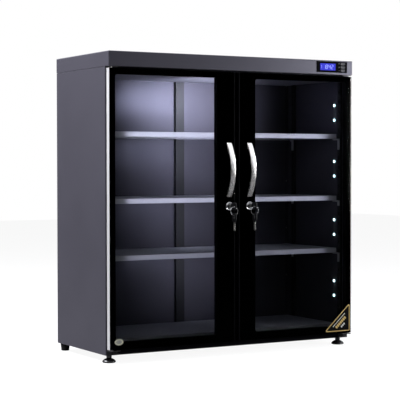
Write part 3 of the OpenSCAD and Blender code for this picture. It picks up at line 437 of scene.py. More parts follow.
def make_finishes(colours):
    """Every finish of the cabinet, by the maker's name for it."""
    blue_sheen = (0.80, 0.80, 1.0)
    paint = tuple(colours.paint)
    return {
        # The cabinet paint and the shelf paint carry a painted highlight along their edges
        "cabinet": finish("Cabinet paint", paint, 0.34, level=0.30, tint=blue_sheen, vary=0.10, cloud=5,
                          grain=0.18, grain_size=0.0009, edge=0.0008, edge_highlight=0.12),
        "frame": finish("Door frame black", (0.002, 0.002, 0.003), 0.5, level=0.05, grain_size=0.0008),
        "mask": finish("Glass print", (0.0004, 0.0004, 0.0005), 0.6, level=0.0, vary=0.05, grain=0.02),
        # Painted shade: the cabinet's charcoal paint, with its blue sheen, darkened to near black for the
        # base pan, front rails and mullion, which stand in shade
        "plinth": finish("Plinth black", (0.003, 0.003, 0.004), 0.45, level=0.06, tint=blue_sheen,
                         grain_size=0.0009, edge=0.0010),
        "inner": finish("Inner paint", tuple(colours.inner), 0.45, level=0.35, vary=0.06, cloud=4, grain=0.2,
                        grain_size=0.0009, edge=0.0008),
        "shelf": finish("Shelf paint", tuple(colours.shelf), 0.40, level=0.4, vary=0.05, grain=0.2,
                        grain_size=0.0009, edge=0.0009, edge_highlight=0.1),
        "post": finish("Post black", (0.010, 0.010, 0.012), 0.5, level=0.3, grain_size=0.0009, edge=0.0006),
        "glass": pane("Door glass"),
        "trim": finish("Silver trim", (0.86, 0.86, 0.85), 0.30, metal=0.5, vary=0.03, grain=0.06,
                       grain_size=0.0009, stretch=(1, 1, 0.03), edge=0.0003, uneven=0.02),
        "seal": finish("Door seal", (0.010, 0.010, 0.011), 0.62, level=0.25, grain=0.3, grain_size=0.0006,
                       edge=0.0008),
        "handle": finish("Brushed handle steel", tuple(colours.steel), 0.26, metal=1.0, vary=0.05,
                         grain=0.07, grain_size=0.0007, stretch=(1, 0.04, 0.04), edge=0.0003, uneven=0.04),
        "steel": finish("Bright steel", (0.50, 0.50, 0.51), 0.30, metal=1.0, vary=0.06, grain=0.1,
                        edge=0.0003),
        "chrome": finish("Polished chrome", tinted(colours.chrome, 0.6), 0.08, metal=1.0, vary=0.02,
                         grain=0.02, edge=0.0003, uneven=0.03),
        "plug": finish("Lock plug", tinted(colours.chrome, 0.22), 0.20, metal=1.0, vary=0.04, grain=0.04,
                       edge=0.0003),
        "key": finish("Key head plastic", (0.006, 0.006, 0.007), 0.45, level=0.2, grain=0.2,
                      grain_size=0.0005, edge=0.0004),
        "blade": finish("Key blade nickel", (0.34, 0.33, 0.31), 0.28, metal=1.0, vary=0.07, grain=0.08,
                        grain_size=0.0005, stretch=(1, 0.1, 1), edge=0.0002),
        "bezel": finish("Panel black", (0.005, 0.005, 0.006), 0.50, level=0.0, grain=0.04, edge=0.0006),
        "display": glow(finish("Lit display", tinted(colours.display, 0.3), 0.35, level=0.04, vary=0.06,
                               cloud=120, grain=0.0, edge=0.0003), tuple(colours.display), 0.78),
        "digit": glow(finish("Display digits", (0.20, 0.24, 0.55), 0.4, level=0.04, vary=0.02, grain=0.0,
                             edge=0.0001), (0.34, 0.38, 0.90), 0.90),
        "button": finish("Button grey", (0.040, 0.040, 0.048), 0.45, level=0.2, vary=0.04, grain=0.15,
                         grain_size=0.0004, edge=0.0005),
        "print": finish("White print", (0.60, 0.60, 0.63), 0.5, vary=0.04, grain=0.05, edge=0.0001),
        "board": finish("Circuit board", (0.012, 0.11, 0.045), 0.35, vary=0.15, cloud=90, grain=0.1),
        "supply": finish("Supply case", (0.60, 0.60, 0.61), 0.38, metal=1.0, vary=0.08, grain=0.12,
                         edge=0.0005),
        "black": finish("Black plastic", (0.014, 0.014, 0.015), 0.45, level=0.4, grain=0.25,
                        grain_size=0.0007, edge=0.0006),
        "white": finish("White plastic", (0.66, 0.66, 0.64), 0.42, vary=0.03, grain=0.15, edge=0.0007),
        "desiccant": finish("Desiccant sachet", (0.58, 0.48, 0.32), 0.75, level=0.2, vary=0.16, cloud=160,
                            grain=0.8, grain_size=0.0022, edge=0.0015),
        "strip": finish("Lamp strip", (0.10, 0.11, 0.12), 0.45, vary=0.05, grain=0.05, edge=0.0003),
        "lamp": glow(finish("Lit lamp", (0.85, 0.95, 1.0), 0.2, vary=0.02, grain=0.0, edge=0.0002),
                     (0.62, 0.93, 1.0), 4.0),
        "foot": finish("Foot black", (0.012, 0.012, 0.013), 0.24, level=0.5, grain=0.05, grain_size=0.0008,
                       edge=0.0004),
        "bolt": finish("Blackened bolt", (0.12, 0.12, 0.12), 0.30, metal=1.0, vary=0.08, grain=0.1,
                       edge=0.0003),
        "rubber": finish("Foot rubber", (0.010, 0.010, 0.010), 0.65, level=0.25, grain=0.4,
                         grain_size=0.0010, edge=0.0010),
        "label": finish("Corner label", (0.003, 0.003, 0.003), 0.40, level=0.03, vary=0.1, grain=0.05,
                        edge=0.0002),
        "gold": finish("Label gold", tuple(colours.gold), 0.38, metal=0.4, vary=0.12, cloud=60, grain=0.1,
                       edge=0.0001),
        "small_print": finish("Label small print", (0.58, 0.59, 0.60), 0.4, vary=0.1, grain=0.1, edge=0.0001),
        "oval_core": finish("Oval label middle", (0.36, 0.38, 0.34), 0.4, vary=0.25, cloud=150, grain=0.1,
                            edge=0.0001),
        "seal_label": finish("Oval label", (0.62, 0.62, 0.46), 0.40, metal=0.2, vary=0.18, cloud=110,
                             grain=0.08, edge=0.0001),
    }


FINISHES = {}


def both(*names):
    return tuple(name + "_" + side for name in names for side in SIDES)


NODE_FINISHES = {
    "cabinet": ("top_cap", "back_panel", *both("side_panel")),
    # Painted shade on the base pan, front rails and mullion: a near-black copy of the cabinet paint
    "plinth": ("base_pan", "front_rails", "centre_mullion"),
    "inner": ("ceiling_panel", "floor_tray"),
    "shelf": ("shelf_top", "shelf_middle", "shelf_lower", "shelf_clips"),
    "post": ("shelf_uprights",),
    "frame": both("door_frame"),
    "glass": both("door_glass"),
    "trim": both("door_trim"),
    "seal": both("door_seal"),
    "handle": both("handle"),
    "steel": ("hinge_pins", "body_screws", *both("door_fixings", "key_ring", "lock_cam")),
    "chrome": both("lock_barrel"),
    "plug": both("lock_plug"),
    "foot": both("foot"),
    "key": both("key", "spare_key"),
    "bezel": ("control_bezel",),
    "display": ("lcd_display",),
    "board": ("control_board",),
    "button": ("button_set", "button_up", "button_down"),
    "supply": ("power_supply", "dryer_flap"),
    "black": ("power_inlet", "hinge_brackets", "vent_grille"),
    "white": ("humidity_sensor", "dryer_case", "dryer_cover"),
    "desiccant": ("desiccant_pack",),
    "strip": ("light_strips",),
    "lamp": ("light_lamps",),
    "rubber": ("rear_feet",),
}


# One operator for each piece or group of like pieces

class CABINET_OT_finishes(bpy.types.Operator):
    """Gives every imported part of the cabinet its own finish"""
    bl_idname = "cabinet.finishes"
    bl_label = "Finishes"

    def execute(self, context):
        FINISHES.update(make_finishes(context.scene.cabinet_colours))
        for name, parts in NODE_FINISHES.items():
            wear_on(FINISHES[name], *parts)
        return {"FINISHED"}


class CABINET_OT_masks(bpy.types.Operator):
    """The black print on the back of the two door glasses, with a round-cornered window left clear"""
    bl_idname = "cabinet.masks"
    bl_label = "Glass print"

    def execute(self, context):
        for side, sign in (("left", -1), ("right", 1)):
            lo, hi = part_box("door_glass_" + side)
            rim = 0.3 * MM
            xs = sorted((sign * WINDOW_NEAR, sign * WINDOW_FAR))
            sheet = plate("glass_print_" + side, oblong(lo.x + rim, lo.z + rim, hi.x - rim, hi.z - rim),
                          0.35 * MM)
            window = rounded_outline(oblong(xs[0], WINDOW_LOW, xs[1], WINDOW_HIGH), 8 * MM, 8)
            hole = plate("window", window, 2 * MM)
            put(hole, (0, 0, -0.8 * MM))
            cut(sheet, hole)
            put(sheet, (0, hi.y - 0.02 * MM, 0), FACING)
            hand_over(sheet, "mask", "door_" + side, 0)
        return {"FINISHED"}


class CABINET_OT_handles(bpy.types.Operator):
    """Two bowed handles of brushed steel, with rounded edges"""
    bl_idname = "cabinet.handles"
    bl_label = "Handles"

    def bow(self, radius, centre, half_width, name):
        deselect()
        bpy.ops.mesh.primitive_cylinder_add(
            vertices=256, radius=radius, depth=2 * half_width, location=centre,
            rotation=(0, math.pi / 2, 0))
        made = bpy.context.object
        made.name = name
        settle()
        return made

    def execute(self, context):
        sizes = context.scene.cabinet_sizes
        for side in SIDES:
            lo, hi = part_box("handle_" + side)
            mid = (lo + hi) / 2
            half = (hi.z - lo.z) / 2
            out = hi.y - lo.y
            rise = out - sizes.handle_end
            outer = (half ** 2 + rise ** 2) / (2 * rise)
            grip_half = half - sizes.handle_foot
            grip_rise = out - sizes.handle_middle
            inner = (grip_half ** 2 + grip_rise ** 2) / (2 * grip_rise)
            piece = self.bow(outer, (mid.x, lo.y + outer, mid.z), (hi.x - lo.x) / 2, "bow_handle_" + side)
            edit(piece)
            for point, normal in (((mid.x, hi.y, mid.z), (0, 1, 0)), ((mid.x, hi.y, hi.z), (0, 0, 1)),
                                  ((mid.x, hi.y, lo.z), (0, 0, -1))):
                bpy.ops.mesh.select_all(action="SELECT")
                bpy.ops.mesh.bisect(plane_co=point, plane_no=normal, clear_outer=True, use_fill=True)
            bpy.ops.object.mode_set(mode="OBJECT")
            grip = self.bow(inner, (mid.x, hi.y - grip_rise + inner, mid.z), hi.x - lo.x, "grip_space")
            cut(piece, grip)
            soften(piece, sizes.edge * 1.6, 4)
            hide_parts("handle_" + side)
            hand_over(piece, "handle", "door_" + side)
        return {"FINISHED"}


class CABINET_OT_locks(bpy.types.Operator):
    """Two cam locks: a domed rim round a dished face, and a plug with its keyway"""
    bl_idname = "cabinet.locks"
    bl_label = "Locks"

    def execute(self, context):
        for side in SIDES:
            lo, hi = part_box("lock_barrel_" + side)
            mid = (lo + hi) / 2
            r = (hi.x - lo.x) / 2
            bore = 6.1 * MM
            deep = hi.y - lo.y
            thread = 8.45 * MM
            rim = [(bore, -0.4 * MM), (bore + 0.6 * MM, 0), (r * 0.66, -0.1 * MM), (r * 0.72, -0.75 * MM),
                   (r * 0.78, -0.8 * MM), (r * 0.84, -0.15 * MM), (r * 0.90, 0), (r * 0.97, -0.5 * MM),
                   (r, -1.4 * MM), (r, -3 * MM), (thread, -3 * MM)]
            step = 1.2 * MM
            depth = -3.6 * MM
            while depth - step > -deep + 0.4 * MM:
                rim += [(thread, depth), (thread - 0.55 * MM, depth - step / 2)]
                depth -= step
            rim += [(thread, depth), (thread - 0.7 * MM, -deep), (bore, -deep)]
            piece = turned("lock_body_" + side, rim, closed=True, steps=64)
            put(piece, (mid.x, lo.y, mid.z), FACING)
            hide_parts("lock_barrel_" + side)
            hand_over(piece, "chrome", "door_" + side, 30)
            face = turned("plug_face_" + side, [(0, 0), (3.4 * MM, 0), (4.6 * MM, -0.05 * MM),
                                                (5.5 * MM, -0.35 * MM), (5.85 * MM, -0.9 * MM),
                                                (5.85 * MM, -1.6 * MM), (0, -1.6 * MM)], steps=48)
            keyway = block((0, 0, 0), (2.6 * MM, 8.4 * MM, 6 * MM))
            cut(face, soften(keyway, 0.3 * MM, 2))
            put(face, (mid.x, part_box("lock_plug_" + side)[0].y + 0.05 * MM, mid.z), FACING)
            hand_over(face, "plug", "lock_" + side, 30)
        return {"FINISHED"}


class CABINET_OT_keys(bpy.types.Operator):
    """Four keys: a moulded head with a hanging slot, and a notched and grooved blade"""
    bl_idname = "cabinet.keys"
    bl_label = "Keys"

    def head(self, name, length, width, thick):
        outline = rounded_outline([(0, -width * 0.34), (-length * 0.30, -width / 2),
                                   (-length, -width / 2), (-length, width / 2),
                                   (-length * 0.30, width / 2), (0, width * 0.34)], 4.2 * MM, 5)
        piece = plate(name, outline, thick)
        put(piece, (0, 0, -thick / 2))
        hanging_slot = oblong(-length + 4 * MM, -2.5 * MM, -length + 15 * MM, 2.5 * MM)
        gap = plate("hanging_slot", rounded_outline(hanging_slot, 1.4 * MM, 4), 3 * thick)
        put(gap, (0, 0, -1.5 * thick))
        cut(piece, gap)
        for level in (-1, 1):
            dish = plate("dish", rounded_outline([(-8.2 * MM, -6.5 * MM), (-3.2 * MM, -5.0 * MM),
                                                  (-3.2 * MM, 5.0 * MM), (-8.2 * MM, 6.5 * MM)],
                                                 1.2 * MM, 3), thick)
            put(dish, (0, 0, level * (thick - 0.35 * MM) - thick / 2))
            cut(piece, dish)
        return soften(piece, 0.5 * MM, 3, 30)

    def blade(self, name, length, width, thick):
        low, high = -width / 2, width / 2
        outline = [(-2 * MM, low), (1.5 * MM, low)]
        pitch = length / 6
        for i, depth in enumerate((1.4, 2.2, 1.1, 1.8)):
            x = pitch * (i + 1.2)
            outline += [(x - pitch * 0.42, low), (x - pitch * 0.12, low + depth * MM),
                        (x + pitch * 0.12, low + depth * MM), (x + pitch * 0.42, low)]
        outline += [(length - 2.4 * MM, low), (length, -0.4 * MM), (length, 0.4 * MM),
                    (length - 2.4 * MM, high), (-2 * MM, high)]
        piece = plate(name, outline, thick)
        put(piece, (0, 0, -thick / 2))
        for level in (-1, 1):
            groove = block((length / 2 + 2 * MM, 0.9 * MM, level * thick / 2), (length, 1.5 * MM, 0.9 * MM))
            cut(piece, soften(groove, 0.25 * MM, 1))
        return soften(piece, 0.18 * MM, 2, 30)

    def execute(self, context):
        for side in SIDES:
            for kind in ("key", "spare_key"):
                name = kind + "_" + side
                lo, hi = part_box(name)
                size = hi - lo
                long = max(size.y, size.z)
                wide = min(size.y, size.z)
                head_long = long * 25 / 49
                blade_long = long - head_long
                head = self.head(kind + "_head_" + side, head_long, wide, size.x)
                blade = self.blade(kind + "_blade_" + side, blade_long, 7.6 * MM, 2 * MM)
                # Local X runs along the key; an inserted key points into the door, a spare one hangs down
                if kind == "key":
                    turn = Matrix.Rotation(math.radians(90), 4, "Z") @ FACING
                    at = (middle(name).x, lo.y + head_long, (lo.z + hi.z) / 2)
                else:
                    turn = Matrix.Rotation(math.radians(90), 4, "Y")
                    at = (middle(name).x, (lo.y + hi.y) / 2, hi.z - head_long)
                for piece in (head, blade):
                    put(piece, at, turn)
                body = ("key_" if kind == "key" else "spare_") + side
                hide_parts(name)
                hand_over(head, "key", body, 40)
                hand_over(blade, "blade", body, 30)
        return {"FINISHED"}


class CABINET_OT_rings(bpy.types.Operator):
    """Two split rings, each wound twice from flattened wire"""
    bl_idname = "cabinet.rings"
    bl_label = "Key rings"

    def execute(self, context):
        for side in SIDES:
            lo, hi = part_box("key_ring_" + side)
            mid = (lo + hi) / 2
            wire = hi.y - lo.y
            radius = (hi.x - lo.x - wire) / 2
            deselect()
            bpy.ops.mesh.primitive_circle_add(vertices=12, radius=wire * 0.27, fill_type="NOTHING",
                                              location=(radius, 0, -wire * 0.21),
                                              rotation=(math.pi / 2, 0, 0))
            piece = bpy.context.object
            piece.name = "split_ring_" + side
            settle()
            shaped(piece, "SCREW", angle=math.radians(690), screw_offset=wire * 0.42, steps=120,
                   render_steps=120, use_merge_vertices=False, use_smooth_shade=False)
            edit(piece)
            bpy.ops.mesh.select_all(action="DESELECT")
            bpy.ops.mesh.select_non_manifold()
            bpy.ops.mesh.edge_face_add()
            bpy.ops.object.mode_set(mode="OBJECT")
            put(piece, mid, FACING)
            tidy_shell(piece)
            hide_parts("key_ring_" + side)
            hand_over(piece, "steel", "ring_" + side, 60)
        return {"FINISHED"}


class CABINET_OT_display(bpy.types.Operator):
    """Two pairs of seven-segment digits on the lit display"""
    bl_idname = "cabinet.display"
    bl_label = "Display digits"

    def segment(self, name, start, end, width):
        a = Vector(start)
        b = Vector(end)
        along = (b - a).normalized()
        across = Vector((-along.y, along.x)) * width / 2
        a += along * width * 0.14
        b -= along * width * 0.14
        tip = along * width / 2
        outline = [a, a + tip + across, b - tip + across, b, b - tip - across, a + tip - across]
        return plate(name, [tuple(point) for point in outline], 0.15 * MM)

    def execute(self, context):
        sizes = context.scene.cabinet_sizes
        lo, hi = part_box("lcd_display")
        high = sizes.digit
        wide = high * 0.52
        thick = high * 0.105
        lean = 0.10
        lit = {"1": "bc", "8": "abcdefg", "4": "bcfg", "2": "abdeg"}
        ends = {"a": ((0, 1), (1, 1)), "b": ((1, 1), (1, 0.5)), "c": ((1, 0.5), (1, 0)),
                "d": ((0, 0), (1, 0)), "e": ((0, 0), (0, 0.5)), "f": ((0, 0.5), (0, 1)),
                "g": ((0, 0.5), (1, 0.5))}
        made = []
        for digit, share in zip("1842", (0.27, 0.41, 0.60, 0.77)):
            left = (hi.x - lo.x) * share - wide / 2
            for letter in lit[digit]:
                points = []
                for u, v in ends[letter]:
                    points.append((left + u * wide + lean * v * high, (v - 0.5) * high))
                made.append(self.segment("segment", points[0], points[1], thick))
        for v in (-0.22, 0.22):
            x = (hi.x - lo.x) * 0.505 + lean * (v + 0.5) * high
            y = v * high
            dot = oblong(x - thick / 2, y - thick / 2, x + thick / 2, y + thick / 2)
            made.append(plate("dot", rounded_outline(dot, thick * 0.3, 3), 0.15 * MM))
        for k in (-1, 0, 1):
            y = k * high * 0.30
            bar = oblong(3.4 * MM, y - 0.5 * MM, 6.2 * MM, y + 0.5 * MM)
            made.append(plate("tick", rounded_outline(bar, 0.3 * MM, 3), 0.15 * MM))
        piece = join("display_digits", made)
        put(piece, (lo.x, lo.y, (lo.z + hi.z) / 2), FACING)
        hand_over(piece, "digit", "root", 0)
        return {"FINISHED"}


class CABINET_OT_buttons(bpy.types.Operator):
    """Three domed oval buttons and the small marks printed beside them"""
    bl_idname = "cabinet.buttons"
    bl_label = "Buttons"

    def execute(self, context):
        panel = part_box("control_bezel")[0].y
        aside = 4.2 * MM
        for name in ("button_set", "button_up", "button_down"):
            lo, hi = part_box(name)
            mid = (lo + hi) / 2
            high = hi.z - lo.z
            wide = 16 * MM
            outline = []
            for end in (1, -1):
                for k in range(33):
                    turn = math.pi * k / 32 - end * math.pi / 2
                    outline.append((end * (wide - high) / 2 + high / 2 * math.cos(turn),
                                    high / 2 * math.sin(turn)))
            piece = plate(name + "_cap", outline, hi.y - lo.y)
            # The front face is drawn in twice, so that the cap has a shoulder and a shallow dish
            edit(piece)
            choose(piece, lambda at, normal: normal.z > 0.9)
            bpy.ops.mesh.inset(thickness=0.55 * MM, depth=0)
            bpy.ops.mesh.inset(thickness=0.45 * MM, depth=-0.18 * MM)
            bpy.ops.object.mode_set(mode="OBJECT")
            soften(piece, 0.32 * MM, 3, 30)
            put(piece, (mid.x, hi.y, mid.z), FACING)
            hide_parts(name)
            hand_over(piece, "button", name, 35)
        made = []
        for name, way in (("button_up", 1), ("button_down", -1)):
            arrow = [(-1.1 * MM, -0.8 * MM * way), (1.1 * MM, -0.8 * MM * way), (0, 1.0 * MM * way)]
            mark = plate("arrow", arrow, 0.1 * MM)
            put(mark, (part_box(name)[0].x - aside, panel, middle(name).z), FACING)
            made.append(mark)
        dot = turned("set_mark", oblong(0.55 * MM, 0, 0.95 * MM, 0.1 * MM), closed=True, steps=24)
        put(dot, (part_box("button_set")[0].x - aside, panel, middle("button_set").z), FACING)
        made.append(dot)
        piece = join("panel_marks", made)
        hand_over(piece, "print", "root", 0)
        return {"FINISHED"}


class CABINET_OT_lamps(bpy.types.Operator):
    """Sixteen lamp lenses, a dome over each chip on the side walls"""
    bl_idname = "cabinet.lamps"
    bl_label = "Lamp lenses"

    def execute(self, context):
        sizes = context.scene.cabinet_sizes
        r = sizes.lens / 2
        outline = [(0, r * 0.62)]
        for k in range(1, 9):
            turn = math.pi / 2 * k / 8
            outline.append((r * math.sin(turn), r * 0.62 * math.cos(turn)))
        outline += [(r, -0.2 * MM), (0, -0.2 * MM)]
        seed = turned("lamp_lens", outline, steps=20)
        made = []
        for points in gathered([vert.co.copy() for vert in NODES["light_lamps"].data.vertices], 12 * MM):
            low = Vector([min(p[i] for p in points) for i in range(3)])
            high = Vector([max(p[i] for p in points) for i in range(3)])
            side = 1 if (low.x + high.x) > 0 else -1
            inner = low.x if side > 0 else high.x
            lens = copy_of(seed, "lamp_lens_copy")
            put(lens, (inner, (low.y + high.y) / 2, (low.z + high.z) / 2),
                Matrix.Rotation(math.radians(-90 * side), 4, "Y"))
            made.append(lens)
        bpy.data.objects.remove(seed, do_unlink=True)
        piece = join("lamp_lenses", made)
        hand_over(piece, "lamp", "root", 50)
        return {"FINISHED"}


class CABINET_OT_screws(bpy.types.Operator):
    """Pan-head screws with a cross recess on the back"""
    bl_idname = "cabinet.screws"
    bl_label = "Screws"

    def execute(self, context):
        sizes = context.scene.cabinet_sizes
        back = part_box("back_panel")[1].y
        r = sizes.head / 2
        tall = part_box("body_screws")[1].y - back
        outline = [(0, tall), (r * 0.45, tall * 0.97), (r * 0.72, tall * 0.84), (r * 0.90, tall * 0.58),
                   (r, tall * 0.22), (r, -0.1 * MM), (0, -0.1 * MM)]
        seed = turned("screw_head", outline, steps=28)
        for turn in (0, 90):
            bit = block((0, 0, tall), (r * 1.05, r * 0.24, tall * 1.1))
            edit(bit)
            choose(bit, lambda at, normal: normal.z < -0.9)
            bpy.ops.transform.resize(value=(0.55, 0.8, 1), center_override=(0, 0, 0))
            bpy.ops.object.mode_set(mode="OBJECT")
            put(bit, (0, 0, 0), Matrix.Rotation(math.radians(turn), 4, "Z"))
            cut(seed, bit)
        soften(seed, 0.12 * MM, 1, 45)
        made = []
        for i, (x, z) in enumerate(screw_places(NODES["body_screws"].data, back)):
            head = copy_of(seed, "screw_head_copy")
            spin = Matrix.Rotation(math.radians(37 * i % 90), 4, "Z")
            put(head, (x, back, z), Matrix.Rotation(math.radians(-90), 4, "X") @ spin)
            made.append(head)
        bpy.data.objects.remove(seed, do_unlink=True)
        piece = join("back_screw_heads", made)
        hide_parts("body_screws")
        hand_over(piece, "steel", "root", 35)
        return {"FINISHED"}


def screw_places(data, back):
    """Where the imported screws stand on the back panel, from the points of their heads."""
    heads = [Vector((vert.co.x, vert.co.z)) for vert in data.vertices if vert.co.y >= back]
    made = []
    for group in gathered(heads, 20 * MM):
        xs = [point.x for point in group]
        zs = [point.y for point in group]
        made.append(((min(xs) + max(xs)) / 2, (min(zs) + max(zs)) / 2))
    return sorted(made)


class CABINET_OT_feet(bpy.types.Operator):
    """Two levelling feet: a pressed bell on a rubber pad, a hexagon nut and a threaded stem"""
    bl_idname = "cabinet.feet"
    bl_label = "Levelling feet"

    def execute(self, context):
        sizes = context.scene.cabinet_sizes
        for side in SIDES:
            lo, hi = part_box("foot_" + side)
            mid = (lo + hi) / 2
            r = (hi.x - lo.x) / 2
            bell = 13 * MM
            stem = 3.5 * MM
            outline = [(0, 1.2 * MM), (r * 0.93, 1.2 * MM), (r * 0.98, 1.3 * MM), (r, 1.9 * MM),
                       (r, bell * 0.22), (r * 0.985, bell * 0.27), (r * 0.93, bell * 0.40),
                       (r * 0.86, bell * 0.52), (r * 0.74, bell * 0.66), (r * 0.60, bell * 0.78),
                       (r * 0.48, bell * 0.86), (r * 0.40, bell * 0.91), (r * 0.37, bell * 0.97),
                       (r * 0.34, bell), (stem, bell)]
            pitch = sizes.thread
            height = bell + 6.5 * MM
            outline.append((stem, height))
            top = hi.z - lo.z
            while height + pitch < top - 1 * MM:
                outline += [(stem, height + pitch * 0.1), (stem - 0.45 * MM, height + pitch * 0.5)]
                height += pitch
            outline += [(stem, height), (stem - 0.7 * MM, top), (0, top)]
            piece = turned("foot_bell_" + side, outline, steps=64)
            put(piece, (mid.x, mid.y, lo.z))
            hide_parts("foot_" + side)
            hand_over(piece, "foot", "foot_" + side, 30)
            nut_at = (mid.x, mid.y, lo.z + bell + 2.8 * MM)
            deselect()
            bpy.ops.mesh.primitive_cylinder_add(vertices=6, radius=7.4 * MM, depth=5 * MM, location=nut_at)
            nut = bpy.context.object
            nut.name = "foot_nut_" + side
            settle()
            chamfer = turned("chamfer", [(6.2 * MM, -3 * MM), (9.4 * MM, -3 * MM), (9.4 * MM, 3 * MM),
                                         (6.2 * MM, 3 * MM), (7.5 * MM, 1.9 * MM), (7.5 * MM, -1.9 * MM)],
                             closed=True, steps=48)
            put(chamfer, nut_at)
            cut(nut, chamfer)
            soften(nut, 0.2 * MM, 2, 25)
            hand_over(nut, "bolt", "foot_" + side, 30)
            pad = turned("foot_pad_" + side, [(0, 0), (r * 0.86, 0), (r * 0.92, 0.35 * MM),
                                              (r * 0.92, 1.2 * MM), (0, 1.2 * MM)], steps=64)
            put(pad, (mid.x, mid.y, lo.z))
            hand_over(pad, "rubber", "foot_" + side, 30)
        return {"FINISHED"}


class CABINET_OT_labels(bpy.types.Operator):
    """A plain gold-edged corner label on the right door and a plain oval label on the left door"""
    bl_idname = "cabinet.labels"
    bl_label = "Labels"

    def pasted(self, name, pieces, front, colour):
        """Lays a print on the corner label."""
        piece = join(name, pieces)
        put(piece, (0, front - 0.25 * MM, 0), FACING)
        tidy_shell(piece)
        hand_over(piece, colour, "door_right", 0)

    def execute(self, context):
        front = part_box("door_glass_right")[0].y
        ground = plate("corner_label", rounded_outline(CORNER_LABEL, 4 * MM, 6), 0.25 * MM)
        put(ground, (0, front, 0), FACING)
        hand_over(ground, "label", "door_right", 0)
        low, high = Vector(CORNER_LABEL[0]), Vector(CORNER_LABEL[2])
        start = (low + high) / 2
        along = (high - low).normalized()
        across = Vector((along.y, -along.x))
        outer = plate("gold_frame", rounded_outline(shrunk(CORNER_LABEL, 1.2 * MM), 3.4 * MM, 6), 0.12 * MM)
        inner = plate("frame_hole", rounded_outline(shrunk(CORNER_LABEL, 3.6 * MM), 2.2 * MM, 6), 1 * MM)
        put(inner, (0, 0, -0.4 * MM))
        self.pasted("label_frame", [cut(outer, inner)], front, "gold")
        for name, away, count, long, tall, colour in (
                ("label_line", 11.5 * MM, 14, 3.1 * MM, 2.8 * MM, "small_print"),
                ("label_name", 21 * MM, 7, 5.6 * MM, 8.4 * MM, "gold"),
                ("label_mark", 32.5 * MM, 3, 4.8 * MM, 5.6 * MM, "small_print")):
            marks = []
            for k in range(count):
                at = start + across * away + along * (k - (count - 1) / 2) * (long + 1.1 * MM)
                half = along * long / 2
                rise = across * tall / 2
                outline = [tuple(at - half - rise), tuple(at - half + rise), tuple(at + half + rise),
                           tuple(at + half - rise)]
                marks.append(plate("mark", rounded_outline(outline, min(long, tall) * 0.3, 2), 0.12 * MM))
            self.pasted(name, marks, front, colour)
        steps = 48
        mid_x, mid_z = OVAL_LABEL
        oval = []
        for k in range(steps):
            turn = 2 * math.pi * k / steps
            oval.append((mid_x + 13 * MM * math.cos(turn), mid_z + 8.5 * MM * math.sin(turn)))
        badge = plate("oval_label", oval, 0.3 * MM)
        edit(badge)
        choose(badge, lambda at, normal: normal.z > 0.9)
        bpy.ops.mesh.inset(thickness=1.2 * MM, depth=0)
        bpy.ops.mesh.inset(thickness=0.3 * MM, depth=-0.12 * MM)
        bpy.ops.mesh.inset(thickness=2.2 * MM, depth=0)
        bpy.ops.mesh.inset(thickness=0.4 * MM, depth=0.10 * MM)
        bpy.ops.object.mode_set(mode="OBJECT")
        put(badge, (0, front, 0), FACING)
        hand_over(badge, "seal_label", "door_left", 0)
        inside = [(mid_x + (x - mid_x) * 0.62, mid_z + (z - mid_z) * 0.58) for x, z in oval]
        core = plate("oval_middle", inside, 0.12 * MM)
        put(core, (0, front - 0.3 * MM, 0), FACING)
        hand_over(core, "oval_core", "door_left", 0)
        return {"FINISHED"}


def straight_view(tree):
    """The light path's outputs, its count of bounces, and 1 for what is seen straight or through glass."""
    ray = node(tree, "LightPath").outputs
    bounced = maths(tree, "ADD", ray["Diffuse Depth"], ray["Glossy Depth"])
    through = maths(tree, "MULTIPLY", ray["Is Transmission Ray"], maths(tree, "LESS_THAN", bounced, 0.5))
    return ray, bounced, maths(tree, "MAXIMUM", ray["Is Camera Ray"], through)


